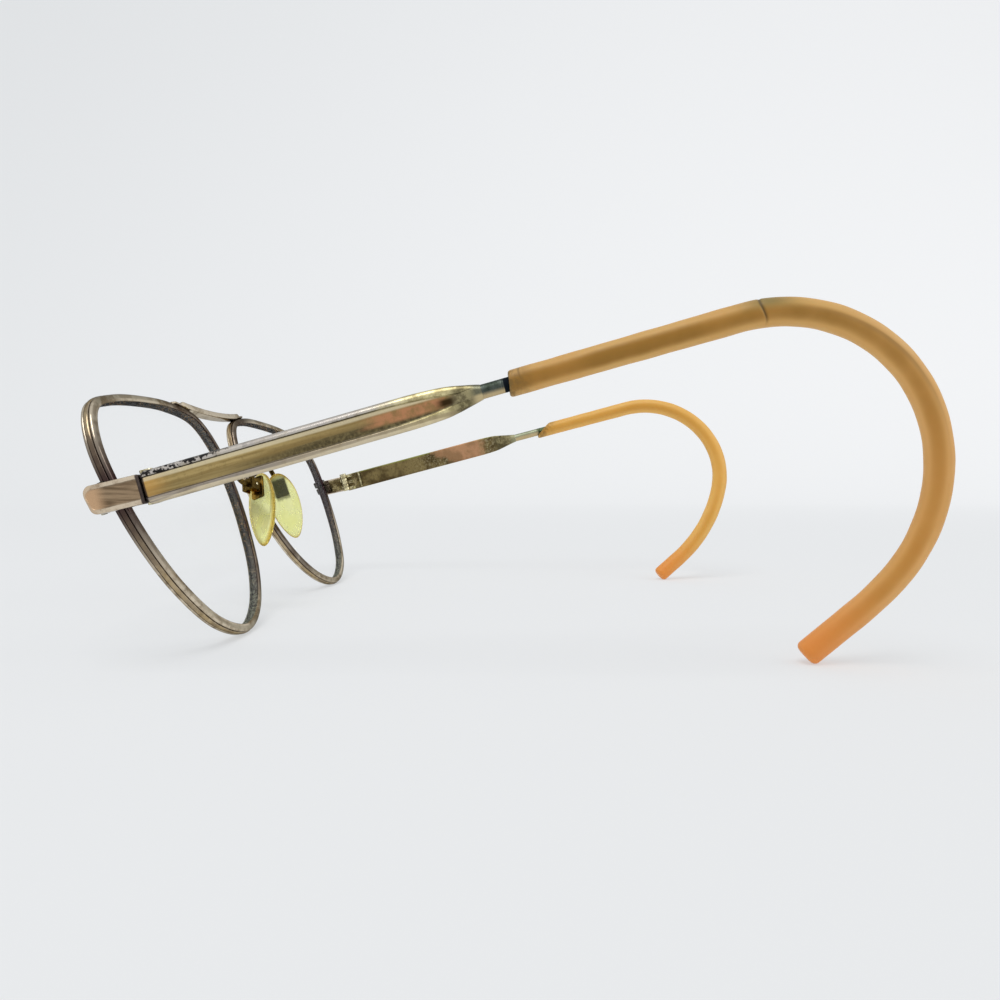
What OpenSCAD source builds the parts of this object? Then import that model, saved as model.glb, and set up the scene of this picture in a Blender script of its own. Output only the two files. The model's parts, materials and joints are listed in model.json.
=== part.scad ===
// Aviator eyeglasses with cable temples, standing on both rims and both temple tips.
// The front faces -Y, the temples run back along +Y, and +Z is up.
// The origin is the middle of the floor rectangle that the glasses cover.

/* [Front] */
// Lean of the front, its top tipped forward from upright
front_lean = 25.2; // [15:0.5:32]
// Width of one rim between the centres of its wire
rim_w = 51.8; // [46:0.2:58]
// Height of one rim between the centres of its wire
rim_h = 46.8; // [40:0.2:50]
// Distance between the two rims at the nose, between wire centres
rim_gap = 11; // [10:0.2:18]
// Turn of each rim about its own lens centre, temple side back
rim_wrap = 3; // [0:0.5:6]
// Radius of the sphere that the lenses and rims follow
lens_curve_r = 220; // [140:5:400]
// Depth of the rim wire from front to back
rim_d = 2.4; // [2:0.1:3]
// Thickness of the rim wire across its channel
rim_t = 1.6; // [1.4:0.1:2]
// Thickness of a lens
lens_t = 1.3; // [1:0.1:1.45]
// Slit where a rim closes beside its endpiece
rim_slit = 0.35; // [0.2:0.05:0.6]

/* [Bridges] */
// Half length of the flat brow bar
brow_reach = 18.5; // [18:0.5:24]
// Thickness of the brow bar
brow_t = 1.6; // [1.2:0.1:2.4]
// Depth of the brow bar from front to back
brow_d = 2.2; // [1.6:0.1:2.6]
// Rise of the brow bar above the rims
brow_rise = 1.1; // [0.3:0.1:1.4]
// Height of the lower bridge above the bottom of the rims
bridge_s = 33; // [28:0.5:36]
// Arch of the lower bridge
bridge_rise = 2; // [1:0.1:3]
// Radius of the lower bridge wire
bridge_r = 1; // [0.8:0.05:1.2]

/* [Endpieces and hinges] */
// Distance of each fold axis outside the wire of its rim at the slit
axis_out = 2.4; // [2:0.1:4]
// Distance of the fold axes behind the rim at its slit
axis_back = 6.9; // [6:0.1:8]
// Tilt of the fold axes, their tops tipped forward
fold_tilt = 15.4; // [10:0.2:20]
// Sideways cant of both fold axes, so the left temple folds above the right one
fold_cant = 2; // [0:0.1:2.5]
// Radius of a hinge knuckle
knuckle_r = 1.05; // [1:0.05:1.2]
// Spacing of the five knuckles
knuckle_pitch = 0.95; // [0.9:0.05:1.1]
// Gap between neighbouring knuckles
knuckle_gap = 0.08; // [0.05:0.01:0.12]
// Radius of the hinge screw
screw_r = 0.55; // [0.4:0.05:0.6]
// Running clearance between the hinge screw and its knuckles
screw_fit = 0.03; // [0.02:0.01:0.06]
// Length of a hinge leaf from the fold axis
leaf_len = 5; // [4:0.1:5.5]
// Thickness of an endpiece plate
endpiece_t = 1.6; // [1.3:0.1:2]
// Height of an endpiece plate
endpiece_h = 4.4; // [3.9:0.1:4.8]
// Length of an endpiece in front of the fold axis
endpiece_len = 8.8; // [8.4:0.1:10]
// Rise of an endpiece from the fold axis to its front end
endpiece_lift = 0.3; // [0:0.1:1]

/* [Temples] */
// Slope of the left temple, rising to the back
slope_left = 15.8; // [15.4:0.1:17]
// Slope of the right temple, rising to the back
slope_right = 14.9; // [14:0.1:15.4]
// Inward run of each temple towards the back
splay = 0.3; // [0:0.1:3]
// Height of the flat temple bar
bar_h = 5; // [4.4:0.1:5.6]
// Thickness of the flat temple bar
bar_t = 1.5; // [1.4:0.1:1.8]
// Length of the full-height part of the bar
bar_len = 40; // [36:0.5:42]
// Length of the bar with its tapered neck
neck_end = 51; // [49:0.5:53]
// Radius of the neck
neck_r = 1.2; // [1.1:0.05:1.4]
// Radius of the spring cable
cable_r = 1.1; // [0.9:0.05:1.2]
// Start of the left sleeve behind the fold axis
sleeve_start_left = 55; // [53:0.5:60]
// Start of the right sleeve behind the fold axis
sleeve_start_right = 61.5; // [56:0.5:66]
// Radius of the sleeve
sleeve_r = 2.05; // [1.9:0.05:2.3]
// Clearance between the cable and the sleeve bore
sleeve_fit = 0.1; // [0.05:0.01:0.2]
// Length of the temple before it starts to hook round the ear
straight_len = 88.9; // [84:0.1:94]
// Radius of the left upper bend behind the ear
hook_r_left = 24.7; // [22:0.1:27]
// Radius of the right upper bend behind the ear
hook_r_right = 21.4; // [19:0.1:23]
// Angle of the left upper bend
hook_turn_left = 144.6; // [136:0.1:150]
// Angle of the right upper bend
hook_turn_right = 117.6; // [112:0.1:128]
// Radius of the left lower bend
curl_r_left = 47.2; // [36:0.1:60]
// Radius of the right lower bend
curl_r_right = 39.8; // [30:0.1:44]
// Angle of the left lower bend
curl_turn_left = 8.6; // [6:0.1:14]
// Angle of the right lower bend
curl_turn_right = 35.5; // [28:0.1:38]
// Lean of the left hook towards the head
hook_lean_left = 10.9; // [4:0.1:12]
// Lean of the right hook towards the head
hook_lean_right = 17.8; // [8:0.1:19]
// Solid length of the sleeve past the end of the cable
tip_len = 3; // [2.5:0.1:5]

/* [Nose pads] */
// Distance of each pad pin from the middle plane
pad_pin_x = 8.7; // [8.4:0.1:10]
// Distance of the pad pins behind the rims
pad_pin_back = 4.6; // [4.6:0.1:6]
// Height of the pad pins above the bottom of the rims
pad_pin_s = 26.8; // [26:0.2:28]
// Length of a nose pad
pad_len = 17; // [15:0.2:17.6]
// Width of a nose pad
pad_w = 6.8; // [6:0.1:7.2]
// Thickness of a nose pad
pad_t = 2.5; // [2.1:0.1:3]
// Splay of the pads, their back edges further apart
pad_splay = 22; // [16:1:30]
// Slant of the pads, their tops closer together
pad_slant = 22; // [18:1:26]
// Radius of the pad arm wire
arm_r = 0.55; // [0.45:0.05:0.65]

/* [Hidden] */
$fn = 48;
eps = 0.01;
left = 1;
right = -1;
// Overrun of a bend past its ends, and the step in radius that keeps it inside its neighbours
lap_turn = 0.5;
lap_step = 0.02;
// Small gap between pieces that are brazed or pressed face to face
seat = 0.05;

// Outline of a rim as shares of its width and height, from the slit over the top and back
rim_shape = [
    [0.997, 0.583], [1, 0.76], [0.916, 0.901], [0.737, 0.964], [0.515, 0.996], [0.288, 1],
    [0.095, 0.952], [0.003, 0.805], [0, 0.602], [0.051, 0.405], [0.158, 0.209], [0.325, 0.06],
    [0.525, 0], [0.723, 0.069], [0.867, 0.226], [0.954, 0.405]
];
rim_points = [for (p = rim_shape) [rim_gap / 2 + p.x * rim_w, p.y * rim_h]];
rim_spans = len(rim_shape);
steps_per_span = 5;
span_len = 10;
lens_x = rim_gap / 2 + 0.525 * rim_w;
lens_s = rim_h / 2;
rim_bow = lens_s * lens_s / (2 * lens_curve_r);
slit_t = rim_slit / 2 / span_len;

// Section of the rim wire: three beads outside, an open lens channel inside
groove_w = lens_t + 0.2;
lip = -rim_t / 2;
bead = rim_t / 2;
half_d = rim_d / 2;
rim_half = [
    [bead, 0], [bead - 0.08, 0.34], [bead - 0.28, 0.46], [bead - 0.18, 0.74], [bead - 0.36, half_d - 0.1],
    [-0.1, half_d], [lip, half_d - 0.12], [lip, groove_w / 2 + 0.04], [-0.02, groove_w / 2]
];
rim_section = concat(
    rim_half,
    [for (i = [len(rim_half) - 1 : -1 : 1]) [rim_half[i].x, -rim_half[i].y]]
);

// Lift that puts the lowest point of the rims on the floor
foot_z = -min([for (p = rim_section) -p.x * cos(front_lean) + p.y * sin(front_lean)]);

// Place of the slit and of the fold axis in the leaning front
slit_x = rim_points[0].x;
slit_s = rim_points[0].y;
slit_n = (slit_x - lens_x) * sin(rim_wrap) + rim_sag(rim_points[0]);
endpiece_drop = 16.5;
axis_x = slit_x + axis_out;
axis_n = slit_n + axis_back * cos(endpiece_drop);
axis_s = slit_s - axis_back * sin(endpiece_drop);
axis_z = foot_z + axis_n * sin(front_lean) + axis_s * cos(front_lean);
axis_run = axis_n * cos(front_lean) - axis_s * sin(front_lean);

// Values that differ between the two hooks
function hook_r(side) = side == left ? hook_r_left : hook_r_right;
function hook_turn(side) = side == left ? hook_turn_left : hook_turn_right;
function curl_r(side) = side == left ? curl_r_left : curl_r_right;
function curl_turn(side) = side == left ? curl_turn_left : curl_turn_right;
function hook_lean(side) = side == left ? hook_lean_left : hook_lean_right;
function slope(side) = side == left ? slope_left : slope_right;

// Places along a hook, as distance along the temple and height over it
function total_turn(side) = hook_turn(side) + curl_turn(side);
function outward(turn) = [sin(turn), cos(turn)];
function bend_a(side) = [straight_len, -hook_r(side)];
function bend_b(side) = bend_a(side) + (hook_r(side) - curl_r(side)) * outward(hook_turn(side));
function joint_b(side) = bend_b(side) + curl_r(side) * outward(total_turn(side));

// Straight end of a sleeve, long enough for its round tip to touch the floor
function tail_len(side) =
    let (end = joint_b(side), turn = total_turn(side), rise = cos(slope(side)) * cos(hook_lean(side)))
    (axis_z + end.x * sin(slope(side)) + end.y * rise - sleeve_r)
    / (sin(turn) * rise - cos(turn) * sin(slope(side)));
tail_left = tail_len(left);
tail_right = tail_len(right);

// Shift that centres the glasses over the origin
rear_run = axis_run + straight_len * cos(slope_left) + hook_r_left * (1 + sin(slope_left)) + sleeve_r;
brow_top_s = rim_h + rim_t / 2 + brow_rise;
front_run = -brow_top_s * sin(front_lean) - brow_d / 2 * cos(front_lean);
front_y = -(rear_run + front_run) / 2;
axis_y = front_y + axis_run;

// A point on a smooth closed curve through a list of points
function curve_point(p, t) =
    let (n = len(p), i = floor(t), f = t - i)
    let (a = p[(i + n - 1) % n], b = p[i % n], c = p[(i + 1) % n], d = p[(i + 2) % n])
    b + 0.5 * f * (c - a + f * (2 * a - 5 * b + 4 * c - d + f * (3 * (b - c) + d - a)));

// The outward normal of the rim curve
function curve_normal(p, t) =
    let (n = len(p), d = curve_point(p, (t + n + 0.01) % n) - curve_point(p, (t + n - 0.01) % n))
    [d.y, -d.x] / norm(d);

// The rim outline moved out from the wire centre by some distance
function rim_outline(out) = [
    for (k = [0 : rim_spans * steps_per_span - 1])
        let (t = k / steps_per_span)
        curve_point(rim_points, t) + out * curve_normal(rim_points, t)
];

// How far a point of the rim lies behind the flat rim plane
function rim_sag(p) =
    (pow(p.x - lens_x, 2) + pow(p.y - lens_s, 2)) / (2 * lens_curve_r) - rim_bow;

// Smooth step from 0 to 1
function ease(v) = let (c = min(max(v, 0), 1)) c * c * (3 - 2 * c);

// One closed skin over a list of rings that all have the same number of points
module skin(rings) {
    m = len(rings[0]);
    last = len(rings) - 1;
    sides = [
        for (i = [0 : last - 1])
            for (j = [0 : m - 1])
                let (a = i * m + j, b = i * m + (j + 1) % m)
                each [[a, b, b + m], [a, b + m, a + m]]
    ];
    start_cap = [[for (j = [m - 1 : -1 : 0]) j]];
    end_cap = [[for (j = [0 : m - 1]) last * m + j]];
    polyhedron(points = [for (ring = rings) each ring], faces = concat(sides, start_cap, end_cap));
}

// The leaning front, with X across, Y to the back and Z up along the rims
module front_place(side = left) {
    translate([0, front_y, foot_z])
        rotate([front_lean, 0, 0])
            mirror([side < 0 ? 1 : 0, 0, 0])
                children();
}

// One rim or lens, turned about its own centre
module lens_place(side) {
    front_place(side)
        translate([lens_x, 0, 0])
            rotate([0, 0, rim_wrap])
                translate([-lens_x, 0, 0])
                    children();
}

// The fold axis along Z, with X outwards and Y to the back
module hinge_place(side) {
    translate([side * axis_x, axis_y, axis_z])
        rotate([fold_tilt, 0, 0])
            rotate([0, fold_cant, 0])
                mirror([side < 0 ? 1 : 0, 0, 0])
                    children();
}

// An endpiece, which lies square to the middle plane
module endpiece_place(side) {
    translate([side * axis_x, axis_y, axis_z])
        rotate([fold_tilt, 0, 0])
            mirror([side < 0 ? 1 : 0, 0, 0])
                children();
}

// A temple, with X outwards, Y along it and Z up
module temple_place(side) {
    translate([side * axis_x, axis_y, axis_z])
        rotate([side == left ? slope_left : slope_right, 0, 0])
            mirror([side < 0 ? 1 : 0, 0, 0])
                rotate([0, 0, splay])
                    children();
}

// Turns a shape drawn in X and Y into the plane along and over the temple
module upright() {
    rotate([90, 0, 90])
        children();
}

// Rims, lenses and bridges

module rim(side) {
    first_t = slit_t;
    last_t = rim_spans - slit_t;
    count = rim_spans * steps_per_span;
    lens_place(side)
        skin([
            for (k = [0 : count])
                let (t = first_t + (last_t - first_t) * k / count)
                let (c = curve_point(rim_points, t), n = curve_normal(rim_points, t))
                [for (p = rim_section) [c.x + p.x * n.x, rim_sag(c) + p.y, c.y + p.x * n.y]]
        ]);
}

module lens(side) {
    ball_y = lens_curve_r - rim_bow;
    lens_place(side)
        intersection() {
            translate([0, 2 * rim_d, 0])
                rotate([90, 0, 0])
                    linear_extrude(4 * rim_d)
                        polygon(rim_outline(-0.15));
            translate([lens_x, ball_y, lens_s])
                difference() {
                    sphere(lens_curve_r + lens_t / 2);
                    sphere(lens_curve_r - lens_t / 2);
                }
        }
}

module rim_shadow(out) {
    for (side = [left, right])
        mirror([side < 0 ? 1 : 0, 0])
            polygon(rim_outline(out));
}

module brow_bar() {
    front_place()
        translate([0, brow_d / 2, 0])
            rotate([90, 0, 0])
                linear_extrude(brow_d)
                    difference() {
                        polygon([
                            [-brow_reach, brow_top_s - brow_rise], [-brow_reach + 3, brow_top_s],
                            [brow_reach - 3, brow_top_s], [brow_reach, brow_top_s - brow_rise],
                            [brow_reach, brow_top_s - brow_t], [-brow_reach, brow_top_s - brow_t]
                        ]);
                        rim_shadow(rim_t / 2 + seat);
                    }
}

arch_over = 7;
nasal_n = -(lens_x - rim_gap / 2) * sin(rim_wrap) + rim_sag([rim_gap / 2, bridge_s]);

module bridge() {
    nose_edge = min([for (p = rim_outline(bead)) p.x]);
    half = nose_edge - 3 * seat;
    arch_r = (half * half + bridge_rise * bridge_rise) / (2 * bridge_rise);
    arch_turn = 2 * asin(half / arch_r) + 2 * arch_over;
    front_place()
        translate([0, nasal_n, bridge_s])
            intersection() {
                translate([0, 0, bridge_rise - arch_r])
                    rotate([90, 0, 0])
                        rotate([0, 0, 90 - arch_turn / 2])
                            rotate_extrude(angle = arch_turn, $fn = 96)
                                translate([arch_r, 0])
                                    circle(bridge_r, $fn = 32);
                cube([2 * half, 4 * bridge_r, 4 * bridge_rise + 4 * bridge_r], center = true);
            }
}

// Clamps that close the rims, and the endpieces that they carry

clamp_in = slit_x + rim_t / 2 + 0.25;
clamp_out = axis_x + knuckle_r + 0.1 - seat;
clamp_mid = (clamp_in + clamp_out) / 2;
clamp_front = slit_n - half_d - 0.9;
clamp_back = slit_n + half_d - 0.3;
clamp_h = 1.75;
clamp_screw_n = clamp_front + 0.8;
clamp_screw_r = 0.4;

module clamp_block(side, level) {
    low = level > 0 ? slit_s + rim_slit / 2 : slit_s - rim_slit / 2 - clamp_h;
    front_place(side)
        difference() {
            translate([clamp_in, clamp_front, low])
                cube([clamp_out - clamp_in, clamp_back - clamp_front, clamp_h]);
            translate([clamp_mid, clamp_screw_n, low - 1])
                cylinder(h = clamp_h + 2, r = clamp_screw_r + screw_fit);
        }
}

module clamp_screw(side) {
    low = slit_s - rim_slit / 2 - clamp_h;
    front_place(side)
        translate([clamp_mid, clamp_screw_n, 0]) {
            difference() {
                translate([0, 0, low - 0.5])
                    cylinder(h = 0.45, r = clamp_screw_r + 0.25);
                translate([-1, -0.1, low - 0.6])
                    cube([2, 0.2, 0.3]);
            }
            translate([0, 0, low - 0.06])
                cylinder(h = 2 * clamp_h + rim_slit, r = clamp_screw_r);
        }
}

plate_in = knuckle_r + 0.1;
open_gap = 0.15;

module endpiece(side) {
    top = endpiece_h / 2;
    lift = endpiece_lift;
    endpiece_place(side)
        difference() {
            translate([plate_in, 0, 0])
                upright()
                    linear_extrude(endpiece_t)
                        polygon([
                            [-open_gap, -top], [-open_gap, top],
                            [-endpiece_len + 0.8, top + lift], [-endpiece_len + 0.1, top + lift - 0.6],
                            [-endpiece_len, top + lift - 1.5], [-endpiece_len + 0.5, lift - top + 0.5],
                            [-endpiece_len + 1.1, lift - top]
                        ]);
            translate([plate_in + endpiece_t - 0.2, 0, 0])
                upright()
                    linear_extrude(1)
                        polygon([
                            [-1, -top + 0.8], [-1, top - 0.8],
                            [-endpiece_len + 1.6, top + lift * 0.8 - 0.8],
                            [-endpiece_len + 1.8, lift * 0.8 - top + 0.8]
                        ]);
        }
}

// Five-knuckle hinges

leaf_in = 0.3;
leaf_out = plate_in - 0.02 - 3 * knuckle_pitch * sin(fold_cant);
leaf_clear = knuckle_r + 0.2;
knuckle_h = knuckle_pitch - knuckle_gap;
barrel_h = 5 * knuckle_pitch;

module hinge_leaf(levels, way) {
    difference() {
        union() {
            translate([leaf_in, way > 0 ? leaf_clear : -leaf_len, -barrel_h / 2 + 0.1])
                cube([leaf_out - leaf_in, leaf_len - leaf_clear, barrel_h - 0.2]);
            for (level = levels)
                translate([0, 0, (level - 0.5) * knuckle_pitch + knuckle_gap / 2]) {
                    cylinder(h = knuckle_h, r = knuckle_r);
                    translate([leaf_in, way > 0 ? 0 : -leaf_clear - eps, 0])
                        cube([leaf_out - leaf_in, leaf_clear + eps, knuckle_h]);
                }
        }
        translate([0, 0, -barrel_h])
            cylinder(h = 2 * barrel_h, r = screw_r + screw_fit);
    }
}

module hinge_leaf_front(side) {
    hinge_place(side)
        hinge_leaf([-1, 1], -1);
}

module hinge_leaf_temple(side) {
    hinge_place(side)
        rotate([0, 0, splay])
            hinge_leaf([-2, 0, 2], 1);
}

module hinge_screw(side) {
    hinge_place(side) {
        translate([0, 0, -barrel_h / 2])
            cylinder(h = barrel_h + 0.1, r = screw_r);
        difference() {
            translate([0, 0, barrel_h / 2 + 0.04])
                cylinder(h = 0.45, r = knuckle_r - 0.1);
            translate([-2, -0.12, barrel_h / 2 + 0.26])
                cube([4, 0.24, 1]);
        }
    }
}

// Temples: a flat bar with a framed panel, its spring cable and the sleeve over the cable

bar_in = plate_in + 0.03;
bar_mid = bar_in + bar_t / 2;
bar_angles = [200, 160, 120, 80, 45, 30, 12, -12, -30, -45, -80, -120];
bevel = 0.75;
panel_rim = 0.2;
panel_sink = 0.15;
bar_stations = [0.15, 0.5, 10, 20, 30, 40, 42, 44, 46, 48, 49.5, 51];

function bar_profile(hh) =
    let (o = bar_in + bar_t, b = min(bevel, hh * 0.4), k = min(bevel, hh * 0.4) + panel_rim)
    [
        [bar_in, -hh + 0.2], [bar_in, hh - 0.2], [bar_in + 0.2, hh], [bar_mid, hh],
        [o, hh - b], [o, hh - k], [o - panel_sink, hh - k - 0.1],
        [o - panel_sink, -hh + k + 0.1], [o, -hh + k], [o, -hh + b],
        [bar_mid, -hh], [bar_in + 0.2, -hh]
    ];

module temple_bar(side) {
    share = neck_end / 51;
    temple_place(side)
        skin([
            for (d = bar_stations)
                let (w = ease((d * share - bar_len) / (neck_end - 1 - bar_len)))
                let (flat = bar_profile(bar_h / 2 * (1 - w) + neck_r * w))
                [
                    for (i = [0 : len(flat) - 1])
                        let (round = [bar_mid + neck_r * cos(bar_angles[i]), neck_r * sin(bar_angles[i])])
                        let (p = flat[i] * (1 - w) + round * w)
                        [p.x, d * share, p.y]
                ]
        ]);
}

// One bend of a run, drawn a little past both its ends so that it fuses with its neighbours
module bend(centre, bend_r, end_turn, turn, r) {
    translate([centre.x, centre.y, 0])
        rotate([0, 0, 90 - end_turn - lap_turn])
            rotate_extrude(angle = turn + 2 * lap_turn)
                translate([bend_r, 0])
                    circle(r);
}

// A round run along the straight and round both bends, with what follows along Z at its end
module hook_run(side, r, from) {
    translate([bar_mid, 0, 0])
        rotate([0, hook_lean(side), 0])
            upright()
                union() {
                    translate([from, 0, 0])
                        upright()
                            cylinder(h = straight_len - from, r = r);
                    bend(bend_a(side), hook_r(side), hook_turn(side), hook_turn(side), r - lap_step);
                    bend(bend_b(side), curl_r(side), total_turn(side), curl_turn(side), r - 2 * lap_step);
                    translate([joint_b(side).x, joint_b(side).y, 0])
                        rotate([0, 0, -total_turn(side)])
                            upright()
                                children();
                }
}

module cable(side) {
    tail = side == left ? tail_left : tail_right;
    temple_place(side)
        hook_run(side, cable_r, neck_end + seat)
            cylinder(h = tail - tip_len, r = cable_r);
}

module sleeve(side) {
    tail = side == left ? tail_left : tail_right;
    start = side == left ? sleeve_start_left : sleeve_start_right;
    bore_r = cable_r + sleeve_fit;
    temple_place(side)
        difference() {
            hook_run(side, sleeve_r, start)
                union() {
                    cylinder(h = tail, r = sleeve_r);
                    translate([0, 0, tail])
                        sphere(sleeve_r - lap_step);
                }
            hook_run(side, bore_r, start - 1)
                cylinder(h = tail - tip_len + sleeve_fit, r = bore_r);
        }
}

// Nose pads, each on a pin in a small open box at the end of a bent wire

pad_lean = 14;
pad_face = -1.9;
pad_low = 4.8;
box_w = 2.4;
box_h = 2.6;
box_wall = 0.35;
box_out = 1.35;
pin_r = 0.35;

// The pad pin along Y, with X away from the nose and Z up along the pad
module pad_place(side) {
    front_place(side)
        translate([pad_pin_x, pad_pin_back, pad_pin_s])
            rotate([-pad_lean, 0, 0])
                rotate([0, -pad_slant, 0])
                    rotate([0, 0, -pad_splay])
                        children();
}

module pad_arm(side) {
    foot = [rim_gap / 2 + 0.2, nasal_n + half_d + seat, bridge_s - 2];
    pin = [pad_pin_x, pad_pin_back, pad_pin_s];
    up = cos(pad_splay) * sin(pad_slant);
    out = [
        cos(pad_splay) * cos(pad_slant),
        up * sin(pad_lean) - sin(pad_splay) * cos(pad_lean),
        up * cos(pad_lean) + sin(pad_splay) * sin(pad_lean)
    ];
    route = [
        foot, foot + [0.1, 0.9, 0.15], foot + [1.5, 2.6, 0.9], foot + [3.9, 3.4, 0.9],
        pin + (box_out + 1.9) * out + [0, 0, 1], pin + (box_out + 1) * out, pin + (box_out + seat) * out
    ];
    count = len(route);
    ends = concat([2 * route[0] - route[1]], route, [2 * route[count - 1] - route[count - 2]]);
    function along(t) = curve_point(ends, min(t, count - 1 - eps) + 1);
    front_place(side)
        skin([
            for (k = [0 : 18])
                let (t = k * (count - 1) / 18)
                let (step = along(t + 0.05) - along(max(t - 0.05, 0)))
                let (u = step / norm(step), v = cross(u, [1, 0, 0.2]), w = cross(u, v / norm(v)))
                [
                    for (j = [0 : 7])
                        along(t) + arm_r * (cos(45 * j) * v / norm(v) + sin(45 * j) * w)
                ]
        ]);
}

module pad_box(side) {
    pad_place(side)
        difference() {
            translate([-0.75, -box_w / 2 - box_wall, -box_h / 2])
                cube([box_out + 0.75, box_w + 2 * box_wall, box_h]);
            translate([-1, -box_w / 2, -box_h])
                cube([box_out + 1 - box_wall, box_w, 2 * box_h]);
            translate([0, 0, 0])
                rotate([90, 0, 0])
                    cylinder(h = 2 * box_w, r = pin_r + screw_fit, center = true, $fn = 24);
        }
}

module pad_pin(side) {
    pad_place(side)
        rotate([90, 0, 0])
            cylinder(h = box_w + 2 * box_wall + 0.1, r = pin_r, center = true, $fn = 24);
}

module pad_mount(side) {
    pad_place(side)
        difference() {
            union() {
                translate([pad_face + eps, -1.6, -2.5])
                    cube([0.55, 3.2, 5]);
                translate([pad_face + 0.5, -box_w / 2 + 0.15, -0.75])
                    cube([-pad_face - 0.5, box_w - 0.3, 1.5]);
                rotate([90, 0, 0])
                    cylinder(h = box_w - 0.3, r = 0.75, center = true);
            }
            rotate([90, 0, 0])
                cylinder(h = 2 * box_w, r = pin_r + screw_fit, center = true, $fn = 24);
        }
}

module nose_pad(side) {
    rings = [[0.86, 0], [0.96, 0.1], [1, 0.3], [0.95, 0.6], [0.76, 0.84], [0.42, 0.98]];
    pad_place(side)
        skin([
            for (ring = rings)
                [
                    for (j = [0 : 27])
                        let (a = j * 360 / 28)
                        [
                            pad_face - seat - ring.y * pad_t,
                            ring.x * pad_w / 2 * cos(a) * (1 + 0.14 * sin(a)),
                            ring.x * pad_len / 2 * sin(a) - pad_low
                        ]
                ]
        ]);
}

color("rosybrown") rim(left);  // rim_left
color("rosybrown") rim(right);  // rim_right
color("aliceblue", 0.3) lens(left);  // lens_left
color("aliceblue", 0.3) lens(right);  // lens_right
color("antiquewhite") brow_bar();
color("tan") bridge();
color("dimgray") clamp_block(left, 1);  // rim_clamp_upper_left
color("dimgray") clamp_block(right, 1);  // rim_clamp_upper_right
color("gray") clamp_block(left, -1);  // rim_clamp_lower_left
color("gray") clamp_block(right, -1);  // rim_clamp_lower_right
color("silver") clamp_screw(left);  // clamp_screw_left
color("silver") clamp_screw(right);  // clamp_screw_right
color("burlywood") endpiece(left);  // endpiece_left
color("burlywood") endpiece(right);  // endpiece_right
color("gray") hinge_leaf_front(left);  // hinge_leaf_front_left
color("gray") hinge_leaf_front(right);  // hinge_leaf_front_right
color("gold") hinge_screw(left);  // hinge_screw_left
color("gold") hinge_screw(right);  // hinge_screw_right
color("silver") pad_arm(left);  // pad_arm_left
color("silver") pad_arm(right);  // pad_arm_right
color("silver") pad_box(left);  // pad_box_left
color("silver") pad_box(right);  // pad_box_right
color("gold") pad_pin(left);  // pad_pin_left
color("gold") pad_pin(right);  // pad_pin_right
color("peru") pad_mount(left);  // pad_mount_left
color("peru") pad_mount(right);  // pad_mount_right
color("khaki") nose_pad(left);  // nose_pad_left
color("khaki") nose_pad(right);  // nose_pad_right
color("tan") hinge_leaf_temple(left);  // hinge_leaf_temple_left
color("tan") hinge_leaf_temple(right);  // hinge_leaf_temple_right
color("goldenrod") temple_bar(left);  // temple_bar_left
color("goldenrod") temple_bar(right);  // temple_bar_right
color("slategray") cable(left);  // cable_left
color("slategray") cable(right);  // cable_right
color("orange") sleeve(left);  // sleeve_left
color("orange") sleeve(right);  // sleeve_right
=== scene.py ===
# %% [markdown]
# # Aviator eyeglasses with cable temples
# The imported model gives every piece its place. This script dresses it: each piece that shows is made
# again as a fine surface worked out with numpy, and gets a finish built from shader nodes. Two small
# screws a side and the lenses are good enough as they come, so they only get a finish. Editing the
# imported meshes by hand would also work, but a change of size would then be work lost.

# %% Load the frame
import json
from math import radians
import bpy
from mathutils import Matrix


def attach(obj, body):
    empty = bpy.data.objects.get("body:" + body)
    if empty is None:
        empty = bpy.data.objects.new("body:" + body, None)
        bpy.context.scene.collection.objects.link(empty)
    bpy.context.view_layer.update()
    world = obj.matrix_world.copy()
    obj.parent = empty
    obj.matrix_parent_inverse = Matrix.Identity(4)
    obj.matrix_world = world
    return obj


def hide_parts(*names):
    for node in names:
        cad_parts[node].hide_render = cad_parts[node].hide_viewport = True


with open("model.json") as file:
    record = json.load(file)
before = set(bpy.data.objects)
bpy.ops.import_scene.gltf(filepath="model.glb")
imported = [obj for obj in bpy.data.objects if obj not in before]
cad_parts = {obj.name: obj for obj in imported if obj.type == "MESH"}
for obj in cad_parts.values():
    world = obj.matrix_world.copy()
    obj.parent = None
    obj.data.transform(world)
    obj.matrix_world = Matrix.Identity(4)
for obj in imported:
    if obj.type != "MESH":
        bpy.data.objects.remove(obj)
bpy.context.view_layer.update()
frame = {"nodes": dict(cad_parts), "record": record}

from types import SimpleNamespace

import bpy
import bmesh
import numpy as np
from mathutils import Matrix, Vector

# %% [markdown]
# A surface here is a stack of rings. Every ring is a closed loop of points, all rings have the same
# number of points, and neighbouring rings are joined by quads. A wire, a bar, a tube and a pin are
# all such stacks, so one short function makes every mesh, and it stays free of loops over points.
# Curves with bevels or booleans would be quicker to type, but they leave uneven faces, and the finish
# needs masks at known points: how deep in a groove, how far along, inside or outside.

# %% Surfaces from rings
MM = 0.001


def mesh_piece(name, points, faces, masks=None, sharp=40):
    """Puts points in millimetres and faces into a mesh in metres, with its normals turned outwards."""
    mesh = bpy.data.meshes.new(name)
    mesh.from_pydata((np.asarray(points) * MM).tolist(), [], faces)
    for label, values in (masks or {}).items():
        written = mesh.attributes.new(label, "FLOAT", "POINT")
        written.data.foreach_set("value", np.ascontiguousarray(values, dtype=np.float32).ravel())
    work = bmesh.new()
    work.from_mesh(mesh)
    bmesh.ops.recalc_face_normals(work, faces=work.faces)
    work.to_mesh(mesh)
    work.free()
    mesh.shade_smooth()
    mesh.set_sharp_from_angle(angle=radians(sharp))
    piece = bpy.data.objects.new(name, mesh)
    bpy.context.scene.collection.objects.link(piece)
    return piece


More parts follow.
